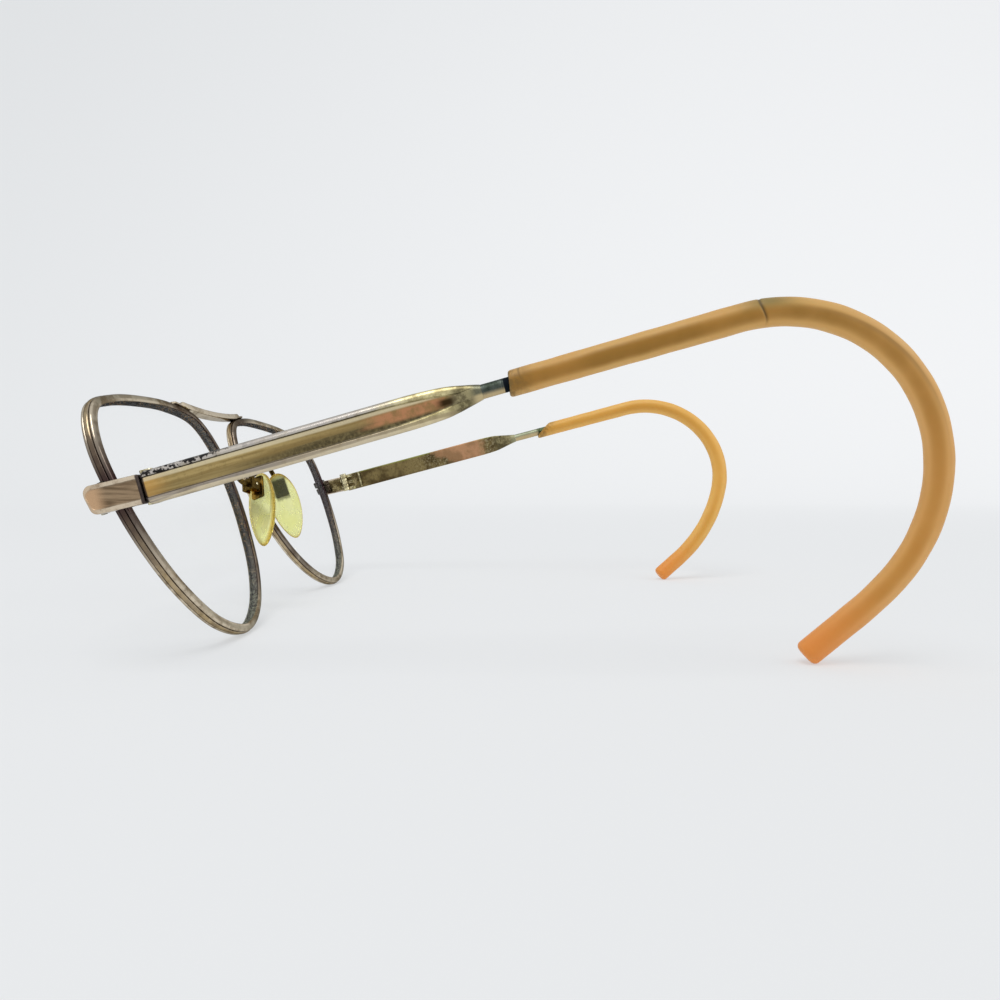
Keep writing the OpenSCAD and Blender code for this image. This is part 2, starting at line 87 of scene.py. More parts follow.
def ring_stack(name, rings, masks=None, sharp=40):
    """Quad (i, j) joins ring i with ring i + 1 between points j and j + 1; a fan closes each end."""
    rings = np.asarray(rings, dtype=float)
    count, around = rings.shape[:2]
    i, j = np.meshgrid(np.arange(count - 1), np.arange(around), indexing="ij")
    k = (j + 1) % around
    quads = np.stack([i * around + j, i * around + k, (i + 1) * around + k, (i + 1) * around + j], -1)
    points = rings.reshape(-1, 3)
    ends = np.stack([rings[0].mean(0), rings[-1].mean(0)])
    total = count * around
    j = np.arange(around)
    k = (j + 1) % around
    first = np.stack([k, j, np.full(around, total)], -1)
    last = np.stack([j, k, np.full(around, 1)], -1) + (count - 1) * around
    last[:, 2] = total + 1
    values = {}
    for label, mask in (masks or {}).items():
        mask = np.broadcast_to(mask, (count, around)).astype(float)
        values[label] = np.concatenate([mask.ravel(), [mask[0].mean(), mask[-1].mean()]])
    faces = quads.reshape(-1, 4).tolist() + first.tolist() + last.tolist()
    return mesh_piece(name, np.concatenate([points, ends]), faces, values, sharp)


print("a stack of 10 rings of 8 points has", 9 * 8, "quads and", 2 * 8, "triangles")

# %% [markdown]
# Outlines and sections are typed as a few points and then smoothed. A Catmull-Rom curve passes through
# its points, so a point measured on a part stays where it was measured. A corner is cut back and
# bridged, as a file would break an edge. A smooth step and a bell are used for every gradual change.

# %% Curves, corners and gradual changes
def smooth_loop(points, steps):
    """A closed Catmull-Rom curve: a cubic for each stretch, its ends in line with its neighbours' chords."""
    p = np.asarray(points, dtype=float)
    f = (np.arange(steps) / steps)[None, :, None]
    a, b, c, d = (np.roll(p, s, 0)[:, None, :] for s in (1, 0, -1, -2))
    curve = b + 0.5 * f * (c - a + f * (2 * a - 5 * b + 4 * c - d + f * (3 * (b - c) + d - a)))
    return curve.reshape(-1, p.shape[1])


def smooth_line(points, steps):
    """An open Catmull-Rom curve through the points, its ends mirrored so that it starts and stops on them."""
    p = np.asarray(points, dtype=float)
    p = np.concatenate([[2 * p[0] - p[1]], p, [2 * p[-1] - p[-2]]])
    f = (np.arange(steps) / steps)[None, :, None]
    a, b, c, d = (p[s:len(p) - 3 + s][:, None, :] for s in range(4))
    curve = b + 0.5 * f * (c - a + f * (2 * a - 5 * b + 4 * c - d + f * (3 * (b - c) + d - a)))
    return np.concatenate([curve.reshape(-1, p.shape[1]), p[-2:-1]])


def rounded(points, radius, steps=6):
    """A closed outline whose corners are cut back by a distance and bridged by a quadratic curve."""
    p = np.asarray(points, dtype=float)
    back, ahead = np.roll(p, 1, 0) - p, np.roll(p, -1, 0) - p
    reach = np.broadcast_to(radius, len(p))[:, None]
    near = lambda v: v / np.linalg.norm(v, axis=1)[:, None] * np.minimum(
        reach, 0.45 * np.linalg.norm(v, axis=1)[:, None])
    a, b = p + near(back), p + near(ahead)
    f = np.linspace(0, 1, steps + 1)[None, :, None]
    arc = (1 - f) ** 2 * a[:, None] + 2 * f * (1 - f) * p[:, None] + f ** 2 * b[:, None]
    return arc.reshape(-1, p.shape[1])


def ease(v):
    """Smooth step: 0 below 0, 1 above 1, and 3v² - 2v³ between."""
    v = np.clip(v, 0, 1)
    return v * v * (3 - 2 * v)


def bump(v, centre, width):
    """A bell of height 1 at the centre."""
    return np.exp(-((np.asarray(v) - centre) / width) ** 2)


print("smooth step at a quarter:", float(ease(0.25)))

# %% [markdown]
# The glasses lean on their rims, the temples slope, and the fold axes tilt. Each of these is a turn
# and a shift, so the places of the part are written once as small functions that move whole arrays.
# Parenting to empties would do the same on screen, but here every place ends up in the mesh itself,
# so that an object can stay at the origin and a pattern can't slide on it. Sizes are in millimetres
# and angles in degrees, the same as in the solid model, and the fold axis is read from its record.

# %% Sizes of the front and its rims
FRONT_LEAN, RIM_W, RIM_H, RIM_GAP, RIM_WRAP, LENS_R = 25.2, 51.8, 46.8, 11.0, 3.0, 220.0
RIM_D, RIM_T, SLIT = 2.4, 1.6, 0.35
FOLD_TILT, FOLD_CANT, SPLAY = 15.4, 2.0, 0.3
SLOPE = {1: 15.8, -1: 14.9}
SIDES = {"left": 1, "right": -1}
RIM_SHAPE = np.array([
    [0.997, 0.583], [1, 0.76], [0.916, 0.901], [0.737, 0.964], [0.515, 0.996], [0.288, 1],
    [0.095, 0.952], [0.003, 0.805], [0, 0.602], [0.051, 0.405], [0.158, 0.209], [0.325, 0.06],
    [0.525, 0], [0.723, 0.069], [0.867, 0.226], [0.954, 0.405]])
RIM_POINTS = RIM_SHAPE * [RIM_W, RIM_H] + [RIM_GAP / 2, 0]
LENS_X, LENS_S = RIM_GAP / 2 + 0.525 * RIM_W, RIM_H / 2
RIM_BOW = LENS_S ** 2 / (2 * LENS_R)

axis_left = np.array(next(j["pos_m"] for j in frame["record"]["behaviour"]["joints"]
                          if j["name"] == "temple_left_fold")) / MM
AXIS_X, AXIS_Y, AXIS_Z = axis_left
FRONT_AHEAD, FOOT_Z = 3.5044, 0.876
FRONT_Y = AXIS_Y + FRONT_AHEAD
print("fold axis in mm:", axis_left.round(2))

# %% [markdown]
# Points are rows of an array, so a turn is one product with a matrix, and a shift is one sum. Side is 1
# for the wearer's left and -1 for the right, and multiplying X by it mirrors a whole piece. A Mirror
# modifier can't be used for that, because the two temples slope and bend differently.

# %% Places
def turn(axis, degrees):
    """The 3 by 3 matrix of a turn about X, Y or Z, as rows that multiply column vectors."""
    return np.array(Matrix.Rotation(radians(degrees), 3, axis))


def mirrored(p, side):
    """X is multiplied by the side, so one formula serves the left and the right."""
    return np.asarray(p, dtype=float) * [side, 1, 1]


def front_place(p, side=1):
    """Mirrors, leans by the front's angle about X, and stands the rims on the floor."""
    return mirrored(p, side) @ turn("X", FRONT_LEAN).T + [0, FRONT_Y, FOOT_Z]


def lens_place(p, side):
    """Turns a rim about the upright line through its lens centre, then leans it with the front."""
    centre = np.array([LENS_X, 0, 0])
    return front_place((p - centre) @ turn("Z", RIM_WRAP).T + centre, side)


def fold_place(p, side, cant=FOLD_CANT):
    """Mirrors, cants about Y, tilts about X and moves to the fold axis."""
    turned = mirrored(p, side) @ (turn("X", FOLD_TILT) @ turn("Y", cant)).T
    return turned + [side * AXIS_X, AXIS_Y, AXIS_Z]


def temple_place(p, side):
    """Splays about Z, mirrors, slopes about X and moves to the fold axis."""
    turned = mirrored(np.asarray(p) @ turn("Z", SPLAY).T, side) @ turn("X", SLOPE[side]).T
    return turned + [side * AXIS_X, AXIS_Y, AXIS_Z]


def rim_sag(x, s):
    """Depth behind the flat plane = squared distance from the middle / twice the radius, less the bow."""
    return ((x - LENS_X) ** 2 + (s - LENS_S) ** 2) / (2 * LENS_R) - RIM_BOW


print("the front leans", FRONT_LEAN, "degrees, the temples slope", SLOPE[1], "and", SLOPE[-1])

# %% [markdown]
# A finished piece rides on one moving body: the front, a temple or a pad. It also says which packed
# piece it stands for, by which it later takes its kind of material.

# %% Seating a piece
pieces = {}


def seat(piece, body, node):
    """The piece rides on a body and stands for its CAD node, whose imported mesh is hidden."""
    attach(piece, body)
    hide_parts(node)
    pieces[node] = piece


# %% [markdown]
# A rim is a drawn wire with three beads outside and an open channel for the lens inside. A maker
# pulls the wire through a die and bends it round a former. The same is done here: half of the section
# is typed and mirrored, and the rim's outline is walked at even steps from one side of its slit to
# the other, with the direction that points away from the lens at every step. A curve object with this
# section as its bevel would come close, but it can't say which point lies in which groove.

# %% Rim section and rim curve
RIM_STEPS, RIM_SQUEEZE = 26, 0.9
RIM_HALF = [
    [0.80, 0.0], [0.78, 0.2], [0.7, 0.38], [0.52, 0.47], [0.59, 0.58], [0.63, 0.78], [0.52, 1.0],
    [0.3, 1.15], [-0.1, 1.2], [-0.5, 1.2], [-0.72, 1.14], [-0.8, 1.0], [-0.77, 0.86], [-0.5, 0.8],
    [-0.1, 0.73], [0.02, 0.6], [0.06, 0.3]]
RIM_SECTION = smooth_loop(RIM_HALF + [[0.06, 0]] + [[x, -y] for x, y in RIM_HALF[:0:-1]], 3)


def rim_curve(steps):
    """The rim's wire centre from one side of the slit to the other, with its outward normals."""
    curve = smooth_loop(RIM_POINTS, steps)
    ahead = np.roll(curve, -1, 0) - np.roll(curve, 1, 0)
    normal = np.stack([ahead[:, 1], -ahead[:, 0]], -1)
    normal /= np.linalg.norm(normal, axis=1)[:, None]
    step = np.linalg.norm(np.diff(curve, axis=0, append=curve[:1]), axis=1)
    run = np.concatenate([[0], np.cumsum(step)])
    where = np.linspace(SLIT / 2, run[-1] - SLIT / 2, len(curve) + 1)
    pick = lambda v: np.stack([np.interp(where, run, np.append(v[:, k], v[0, k])) for k in (0, 1)], -1)
    return pick(curve), pick(normal), where, run[-1]


print("rim wire, once round, in mm:", round(float(rim_curve(RIM_STEPS)[3]), 1))

# %% [markdown]
# Now the section is carried along the curve, its X along the curve's normal, and the whole rim is bent
# back as if it lay on a large ball. The wire ages unevenly: its grooves and its channel were never
# polished, soot gathers beside the endpieces, and the back of the nose side is darker. Masks
# written at the same time tell the finish where each of these is.

# %% Rims
SOOT_REACH, NOSE_SIDE, NOSE_FADE, NASAL_DARKENING = 12.0, LENS_X - 6, 10, 0.7


def make_rim(side_name):
    """Point = curve + out times the normal, and back by the section's depth plus the sag of the ball."""
    side = SIDES[side_name]
    centre, normal, where, whole = rim_curve(RIM_STEPS)
    out, back = RIM_SECTION[:, 0], RIM_SECTION[:, 1] * RIM_SQUEEZE
    x = centre[:, :1] + out * normal[:, :1]
    s = centre[:, 1:] + out * normal[:, 1:]
    y = rim_sag(centre[:, :1], centre[:, 1:]) + back
    rings = lens_place(np.stack([x, np.broadcast_to(y, x.shape), s], -1), side)
    groove = 0.62 * bump(np.abs(back), 0.43, 0.1) * (out > 0.3)
    channel = ease((0.3 - out) / 0.3) * ease((1.0 - np.abs(back)) / 0.1)
    to_slit = np.minimum(where, whole - where)[:, None]
    # The back of the nose side is made darker; it is laid in with the soot.
    nasal = ease((NOSE_SIDE - x) / NOSE_FADE) * ease((s / RIM_H - 0.06) / 0.1) * ease((back - 0.1) / 0.4)
    masks = {
        "groove": groove[None, :],
        "channel": channel[None, :],
        "bead": (ease((0.4 - np.abs(back)) / 0.1) * (out > 0.5))[None, :],
        "flank": (ease((np.abs(back) - 0.92) / 0.12) * (out > -0.3))[None, :],
        "soot": np.maximum(bump(to_slit, 0, SOOT_REACH), NASAL_DARKENING * nasal),
        "lift": s / RIM_H,
    }
    piece = ring_stack(f"rim_wire_{side_name}", rings, masks)
    seat(piece, "front", f"rim_{side_name}")


for side_name in SIDES:
    make_rim(side_name)
print("rim points:", len(pieces["rim_left"].data.vertices))

# %% [markdown]
# The brow bar is a flat strip brazed on top of both rims. It dips between them, and its ends are
# hammered thin where they lie on the wire. Its underside follows the rims, so it is made as a stack of
# upright sections along X, each one a rounded rectangle between the rim and the top. A bent box would
# need its underside cut to the rims afterwards.

# %% Brow bar
BROW_REACH, BROW_T, BROW_D, BROW_DIP = 18.5, 1.4, 2.2, 47.1
THIN_FROM, THIN_OVER, THIN_PLATE, BROW_GROOVE = 14.4, 1.6, 0.34, 0.35


def rim_top(x):
    """Height of the rims' outer edge over a place across the front, and 0 between the rims."""
    centre, normal, _, _ = rim_curve(RIM_STEPS)
    edge = centre + normal * (RIM_T / 2)
    upper = edge[edge[:, 1] > 0.8 * RIM_H]
    order = np.argsort(upper[:, 0])
    return np.interp(np.abs(x), upper[order, 0], upper[order, 1], left=0)


def make_brow_bar():
    """Top = a parabola that dips between the rims; past the full strip, the rim and a thin plate."""
    x = np.linspace(-BROW_REACH, BROW_REACH, 261)
    reach = np.abs(x)
    rim = rim_top(x)
    thin = ease((reach - THIN_FROM) / THIN_OVER)
    dip = BROW_DIP + 0.9 * (x / 15) ** 2
    top = dip * (1 - thin) + (rim + THIN_PLATE) * thin
    low = np.maximum(dip - BROW_T, rim - 0.12)
    low = np.minimum(low, top - 0.2)
    box = rounded([[-1, -1], [1, -1], [1, 1], [-1, 1]], [0.45, 0.45, 0.5, 0.5])
    end = 1 - 0.6 * bump(reach, BROW_REACH, 0.35)
    depth = BROW_D / 2 * (1 - 0.16 * thin) * end
    y = box[:, 0] * depth[:, None]
    s = (top + low)[:, None] / 2 + box[:, 1] * ((top - low) / 2)[:, None]
    grid = np.stack([np.broadcast_to(x[:, None], y.shape), y, s], -1)
    piece = ring_stack("brow_strip", front_place(grid), {"groove": BROW_GROOVE * thin[:, None]})
    seat(piece, "front", "brow_bar")


make_brow_bar()
print("brow bar:", 2 * BROW_REACH, "mm long, its top dipping to", BROW_DIP, "mm above the rims' feet")

# %% [markdown]
# The bridge is a short arch of round wire between the rims. A round wire on any path needs two
# directions square to the path, and circles in them. Cross products give both at once for all points.
# A curve with a round bevel would do as well. This way all the wires are made by one function.

# %% Bridge
ASKEW = [0.08, 0.1, 1.0]


def tube(name, path, radius, around):
    """Circles square to a path: across = path x a direction no wire has, up = across x path."""
    path = np.asarray(path, dtype=float)
    ahead = np.gradient(path, axis=0)
    ahead /= np.linalg.norm(ahead, axis=1)[:, None]
    across = np.cross(ahead, ASKEW)
    across /= np.linalg.norm(across, axis=1)[:, None]
    up = np.cross(across, ahead)
    a = np.linspace(0, 2 * np.pi, around, endpoint=False)
    rings = path[:, None] + radius * (np.cos(a)[None, :, None] * across[:, None]
                                      + np.sin(a)[None, :, None] * up[:, None])
    return ring_stack(name, rings)


BRIDGE_S, BRIDGE_RISE, BRIDGE_R = 33.0, 2.0, 1.0
NASAL_N = -(LENS_X - RIM_GAP / 2) * np.sin(radians(RIM_WRAP)) + rim_sag(RIM_GAP / 2, BRIDGE_S)


def make_bridge():
    """An arc whose radius = (half the span squared + the rise squared) / twice the rise."""
    half = RIM_GAP / 2 - RIM_T / 2 - 0.12
    arch_r = (half ** 2 + BRIDGE_RISE ** 2) / (2 * BRIDGE_RISE)
    limit = np.arcsin(half / arch_r)
    a = np.linspace(-limit, limit, 81)
    path = np.stack([arch_r * np.sin(a), np.full_like(a, NASAL_N),
                     BRIDGE_S + BRIDGE_RISE + arch_r * (np.cos(a) - 1)], -1)
    piece = tube("bridge_wire", front_place(path), BRIDGE_R, 36)
    seat(piece, "front", "bridge")


make_bridge()
print("bridge: a wire of", 2 * BRIDGE_R, "mm, rising", BRIDGE_RISE, "mm")

# %% [markdown]
# Endpieces, clamps and hinge leaves are small plates with softened edges. A plate is an outline that
# is carried from one face to the other: it starts inset, swells to its full size at the edge rounding,
# and closes inset again. A sunk panel is a few more rings on the outer face, pushed in. A Bevel
# modifier would round the edges too, but it would round the panel's steps with them.

# %% A plate
EDGE_STEPS, PLATE_SHARP = 6, 35


def inset(outline, across, up):
    """Draws an outline in towards its middle by given distances at its widest and tallest."""
    p = np.asarray(outline, dtype=float)
    low, high = p.min(0), p.max(0)
    middle, half = (low + high) / 2, (high - low) / 2
    return middle + (p - middle) * (1 - np.array([across, up]) / half)


def plate(name, outline, low, high, edge, place, corner, panel=(), bright=0.0):
    """Rings of one outline in Y and Z at depths along X. Edge rounds both faces: a quarter circle each.

    A panel row is (depth below the face, inset across, inset up, groove mask, panel mask)."""
    shape = rounded(outline, corner)
    quarter = np.linspace(0, np.pi / 2, EDGE_STEPS)
    rows = [(low + edge * (1 - np.sin(q)), *[edge * (1 - np.cos(q))] * 2, 0, 0) for q in quarter[::-1]]
    rows += [(high - edge * (1 - np.sin(q)), *[edge * (1 - np.cos(q))] * 2, 0, 0) for q in quarter]
    rows += [(high - sink, across, up, groove, inner) for sink, across, up, groove, inner in panel]
    rings = np.array([np.insert(inset(shape, across, up), 0, x, axis=1) for x, across, up, _, _ in rows])
    groove, inner = (np.array([row[k] for row in rows])[:, None] for k in (3, 4))
    masks = {"groove": groove, "panel": inner, "along": rings[..., 1], "bright": bright}
    return ring_stack(name, place(rings), masks, PLATE_SHARP)


print("rings in a plain plate:", 2 * EDGE_STEPS)

# %% [markdown]
# An endpiece is a stout little block at the outer corner of the front, with a rounded nose and a sunk
# panel on its outer face. It stands in the line of the temple, so it is placed from the fold axis. It
# could be modelled by insetting the face of a cube. As rows of numbers, the steps of the panel can be
# matched to the light that the photograph shows on them.

# %% Endpieces
KNUCKLE_R, PITCH, KNUCKLE_GAP, SCREW_R, LEAF_LEN = 1.05, 0.95, 0.08, 0.55, 5.0
PLATE_IN = KNUCKLE_R + 0.1
END_T, END_H, END_LEN, END_LIFT = 1.6, 4.4, 8.8, 0.3
OPEN_GAP = 0.15
# The groove values darken the panel's step all round: painted shade of the step.
END_PANEL = [
    (0.0, 0.3, 0.62, 0.0, 0.0), (0.02, 0.34, 0.7, 0.4, 0.3), (0.1, 0.4, 0.8, 0.5, 0.8),
    (0.13, 0.5, 0.92, 0.2, 1.0), (0.12, 1.0, 1.3, 0.0, 1.0), (0.08, 2.4, 1.9, 0.0, 1.0)]


def make_endpiece(side_name):
    """A rectangle beside the fold axis that rises to its nose, with the nose's corners cut."""
    side = SIDES[side_name]
    top = END_H / 2
    outline = [
        [-OPEN_GAP, -top], [-OPEN_GAP, top], [-END_LEN + 0.8, top + END_LIFT],
        [-END_LEN + 0.1, top + END_LIFT - 0.6], [-END_LEN, top + END_LIFT - 1.5],
        [-END_LEN + 0.5, END_LIFT - top + 0.5], [-END_LEN + 1.1, END_LIFT - top]]
    piece = plate(f"endpiece_plate_{side_name}", outline, PLATE_IN, PLATE_IN + END_T, 0.3,
                  lambda p: fold_place(p, side, 0), 0.45, END_PANEL)
    seat(piece, "front", f"endpiece_{side_name}")


print("endpieces:", END_LEN, "by", END_H, "by", END_T, "mm")

# %% [markdown]
# The rim is slit beside the endpiece so that a lens can go in, and a clamp block on each side of the
# slit takes the screw that closes it. Two cubes with a Bevel modifier would do, but the plates are at
# hand, so the blocks are plates too, from the rim out to the hinge. Each side gets its endpiece and
# both blocks in one go.

# %% Clamps, with the endpieces
SLIT_X, SLIT_S = RIM_POINTS[0]
SLIT_N = (SLIT_X - LENS_X) * np.sin(radians(RIM_WRAP)) + rim_sag(SLIT_X, SLIT_S)
CLAMP_IN, CLAMP_OUT = SLIT_X + RIM_T / 2 + 0.25, AXIS_X + KNUCKLE_R + 0.05
CLAMP_FRONT, CLAMP_BACK, CLAMP_H = SLIT_N - RIM_D / 2 - 0.9, SLIT_N + RIM_D / 2 - 0.3, 1.75


def make_clamp(side_name, level):
    """One block above or below the slit."""
    side = SIDES[side_name]
    low = SLIT_S + SLIT / 2 if level == "upper" else SLIT_S - SLIT / 2 - CLAMP_H
    high = low + CLAMP_H
    outline = [[CLAMP_FRONT, low], [CLAMP_BACK, low], [CLAMP_BACK, high], [CLAMP_FRONT, high]]
    node = f"rim_clamp_{level}_{side_name}"
    piece = plate(f"clamp_{level}_{side_name}", outline, CLAMP_IN, CLAMP_OUT, 0.14,
                  lambda p: front_place(p, side), 0.3)
    seat(piece, "front", node)


for side_name in SIDES:
    make_endpiece(side_name)
    make_clamp(side_name, "upper")
    make_clamp(side_name, "lower")
print("clamps:", round(CLAMP_OUT - CLAMP_IN, 2), "mm from rim to hinge, each", CLAMP_H, "mm high")

# %% [markdown]
# Each hinge has five knuckles on one screw, two on the front leaf and three on the temple leaf. A
# knuckle is a short turned barrel, so it is a profile turned round an axis. A leaf, its knuckles and
# the webs between them are joined into one object, because they are cut from one piece of metal and
# move as one. A boolean union would weld them too, but it can fail on faces that nearly touch.

# %% Turning and joining
def lathe(name, profile, place, masks=None, around=40):
    """Turns a profile of radius against height round the Z axis."""
    r, z = np.asarray(profile, dtype=float).T
    a = np.linspace(0, 2 * np.pi, around, endpoint=False)
    height = np.broadcast_to(z[:, None], (len(r), around))
    rings = np.stack([r[:, None] * np.cos(a), r[:, None] * np.sin(a), height], -1)
    return ring_stack(name, place(rings), masks, PLATE_SHARP)


def join(name, parts):
    """Several meshes become one piece, so that a leaf and its knuckles are a single object."""
    work = bmesh.new()
    for part in parts:
        work.from_mesh(part.data)
    mesh = bpy.data.meshes.new(name)
    work.to_mesh(mesh)
    work.free()
    for part in parts:
        bpy.data.objects.remove(part)
    piece = bpy.data.objects.new(name, mesh)
    bpy.context.scene.collection.objects.link(piece)
    return piece


print("knuckle levels along the screw, from the middle:", [-2, -1, 0, 1, 2])

# %% [markdown]
# A leaf lies against the inside of its bar or endpiece. Way is 1 for the temple's leaf, which reaches
# backwards, and -1 for the front's. The temple's leaf follows the slight splay of its bar, and a bright
# ridge crosses its far end. The knuckles have softened corners, like a cut tube that was deburred.

# %% Hinges
LEAF_IN, LEAF_EDGE, BARREL, RIDGE_LEN = 0.3, 0.1, 5 * PITCH, 0.45
LEAF_OUT = PLATE_IN - 0.02 - 3 * PITCH * np.sin(radians(FOLD_CANT))
LEAF_CLEAR = KNUCKLE_R + 0.2
KNUCKLE_H, KNUCKLE_SOFT, KNUCKLE_BORE = PITCH - KNUCKLE_GAP, 0.09, SCREW_R + 0.03


def knuckle_profile(low, high):
    """Up the bore, out along the bottom, up the side and back along the top, its outer corners cut twice."""
    soft, bore, lip = KNUCKLE_SOFT, KNUCKLE_BORE, KNUCKLE_BORE + 0.04
    return [[bore, high - 0.04], [bore, low + 0.04], [lip, low],
            [KNUCKLE_R - soft, low], [KNUCKLE_R - 0.03, low + 0.03], [KNUCKLE_R, low + soft],
            [KNUCKLE_R, high - soft], [KNUCKLE_R - 0.03, high - 0.03], [KNUCKLE_R - soft, high], [lip, high]]


def make_leaf(side_name, levels, way, body, node):
    """A plate from near to far, a barrel at each level, and a web from each barrel to the plate."""
    side = SIDES[side_name]
    bend = turn("Z", SPLAY if way > 0 else 0)
    place = lambda p: fold_place(p @ bend.T, side)
    half = BARREL / 2 - 0.1 if way > 0 else BARREL / 2 - 0.55
    clear = LEAF_CLEAR + 1.4 if way > 0 else LEAF_CLEAR
    near, far = (clear, LEAF_LEN) if way > 0 else (-LEAF_LEN, -clear)
    outline = [[near, -half], [far, -half], [far, half], [near, half]]
    parts = [plate("leaf", outline, LEAF_IN, LEAF_OUT, LEAF_EDGE, place, 0.3)]
    if way > 0:
        ridge = [[far - RIDGE_LEN, -half], [far, -half], [far, half], [far - RIDGE_LEN, half]]
        parts.append(plate("ridge", ridge, LEAF_IN - 0.1, LEAF_OUT - 0.02, 0.06, place, 0.1, bright=1.0))
    for level in levels:
        low = (level - 0.5) * PITCH + KNUCKLE_GAP / 2
        high = low + KNUCKLE_H
        parts.append(lathe("knuckle", knuckle_profile(low, high), place, {"bright": 1.0}))
        web = [[0, low], [0, high], [way * (clear + 0.2), high], [way * (clear + 0.2), low]]
        parts.append(plate("web", web, LEAF_IN + 0.01, LEAF_OUT - 0.01, 0.06, place, 0.05, bright=0.9))
    piece = join(f"leaf_{'temple' if way > 0 else 'front'}_{side_name}", parts)
    seat(piece, body, node)


for side_name in SIDES:
    make_leaf(side_name, [-1, 1], -1, "front", f"hinge_leaf_front_{side_name}")
    make_leaf(side_name, [-2, 0, 2], 1, f"temple_{side_name}", f"hinge_leaf_temple_{side_name}")
print("hinges: five knuckles of", round(KNUCKLE_H, 2), "mm, with", KNUCKLE_GAP, "mm between them")

# %% [markdown]
# The temple bar is stamped flat, with two round bevels and a sunk panel between them, and runs out
# into a round neck. The flat section and a circle have their points in the same order, and a smooth
# step blends one into the other along the bar. A loft between two curves would do the same, but then
# nothing would say which points are panel, bevel or back.

# %% The section of a temple bar
BAR_H, BAR_T, NECK_R = 5.0, 1.5, 1.1
NECK_END = {1: 51.0, -1: 54.2}
BAR_IN = PLATE_IN + 0.03
BAR_MID = BAR_IN + BAR_T / 2
NECK_FROM, OVAL_FROM, OVAL_LEN = 45.5, 34, 13.6
BAR_UPPER = np.array([
    [0.0, -0.6], [0.0, -0.25], [0.08, -0.07], [0.25, 0.0], [0.6, 0.0], [0.95, -0.1], [1.22, -0.28],
    [1.40, -0.52], [1.48, -0.74], [1.47, -0.84], [1.37, -0.93], [1.3, -1.0], [1.32, -1.12], [1.35, -1.4]])
BAR_TAPER = {
    1: smooth_line([[0, 2.5], [20, 2.5], [37, 2.5], [41.5, 2.45], [45, 2.27], [47.2, 1.98], [48.6, 1.68],
                    [50, 1.36], [51, NECK_R]], 10),
    -1: smooth_line([[0, 2.5], [20, 2.5], [41, 2.5], [44.5, 2.46], [47.5, 2.32], [49.3, 2.04], [50.8, 1.76],
                     [52.3, 1.45], [54.2, NECK_R]], 10)}
FACE_FILL = np.linspace(0, 1, 7)[1:-1]
BEVEL_POINTS = len(BAR_UPPER)
BAR_AROUND = 2 * (BEVEL_POINTS + len(FACE_FILL))


def bar_rings(side, d):
    """Point = stamped section times (1 - w) + circle times w, at distances d; the panel ends in an oval."""
    late = NECK_END[side] - NECK_END[1]
    w = ease((d - NECK_FROM - late) / 5)[:, None]
    half = np.interp(d, *BAR_TAPER[side].T)[:, None]
    squeeze = half / (BAR_H / 2)
    oval = 1 - (np.clip(d - OVAL_FROM - late, 0, None) / OVAL_LEN) ** 2
    oval = np.sqrt(np.clip(oval, 0.002, 1))[:, None]
    x = BAR_UPPER[:, 0] + BAR_IN
    z = half + BAR_UPPER[:, 1] * squeeze
    z = z - ease((-BAR_UPPER[:, 1] - 0.3) / 0.55) * 1.1 * squeeze * (1 - oval)
    panel_z = z[:, -1:] * (1 - 2 * FACE_FILL)
    panel_x = x[-1] + 0.03 * (1 - (1 - 2 * FACE_FILL) ** 2)
    back_z = z[:, :1] * (2 * FACE_FILL - 1)
    full_x = np.concatenate([x, panel_x, x[::-1], np.full(len(FACE_FILL), BAR_IN)])
    full_z = np.concatenate([z, panel_z, -z[:, ::-1], back_z], 1)
    full_x = np.broadcast_to(full_x, full_z.shape)
    angle = np.arctan2(full_z[0] / (BAR_H / 2), (full_x[0] - BAR_MID) / (BAR_T / 2))
    round_x = BAR_MID + (BAR_T / 2 * (1 - w) + NECK_R * w) * np.cos(angle)
    round_z = half * np.sin(angle)
    end = (1 - 0.09 * bump(d, d[0], 0.14) - 0.02 * bump(d, d[-1], 0.1))[:, None]
    px = BAR_MID + (full_x * (1 - w) + round_x * w - BAR_MID) * end
    pz = (full_z * (1 - w) + round_z * w) * end
    return np.stack([px, np.broadcast_to(d[:, None], px.shape), pz], -1), w, full_x - BAR_IN


print("points round a bar:", BAR_AROUND, "of which", BEVEL_POINTS, "on each bevel")

# %% [markdown]
# Both bars are walked from the hinge to the neck's end, with close rings where they start and stop.
# The masks say what the stamping left: the sunk panel, the dark lines that frame it, the face towards
# the head, and how far a point is along the neck.

# %% Temple bars
def make_temple_bar(side_name):
    """Masks come from a point's number round the ring and its distance along the bar."""
    side = SIDES[side_name]
    last = NECK_END[side]
    late = last - NECK_END[1]
    d = np.unique(np.concatenate([[0.15, 0.2, 0.3, 0.45], np.linspace(0.6, last - 0.2, 230),
                                  [last - 0.12, last - 0.03, last]]))
    grid, w, outer = bar_rings(side, d)
    order = np.arange(BAR_AROUND)
    lower = BEVEL_POINTS + len(FACE_FILL)
    in_panel = (order >= BEVEL_POINTS - 2) & (order <= lower + 1)
    line = np.zeros(BAR_AROUND)
    line[[BEVEL_POINTS - 4, BEVEL_POINTS - 3, lower + 2, lower + 3]] = [0.8, 1, 1, 0.8]
    upper_edge = 0.75 * (order == BEVEL_POINTS - 2) * ease((d - 16) / 10)[:, None]
    masks = {
        "panel": in_panel * (1 - w), "groove": (line + upper_edge) * (1 - w),
        "inner": outer < 0.2, "along": d[:, None], "height": grid[..., 2],
        "neck": ease((d - 45.8 - 0.3 * late) / 1.8)[:, None],
        "end": ease((d - last + 2.2) / 1.7)[:, None], "pale": side < 0}
    piece = ring_stack(f"bar_{side_name}", temple_place(grid, side), masks, 50)
    node = f"temple_bar_{side_name}"
    seat(piece, f"temple_{side_name}", node)


for side_name in SIDES:
    make_temple_bar(side_name)
print("temple bars in mm:", NECK_END[1], "left,", NECK_END[-1], "right,", BAR_H, "high and", BAR_T, "thick")

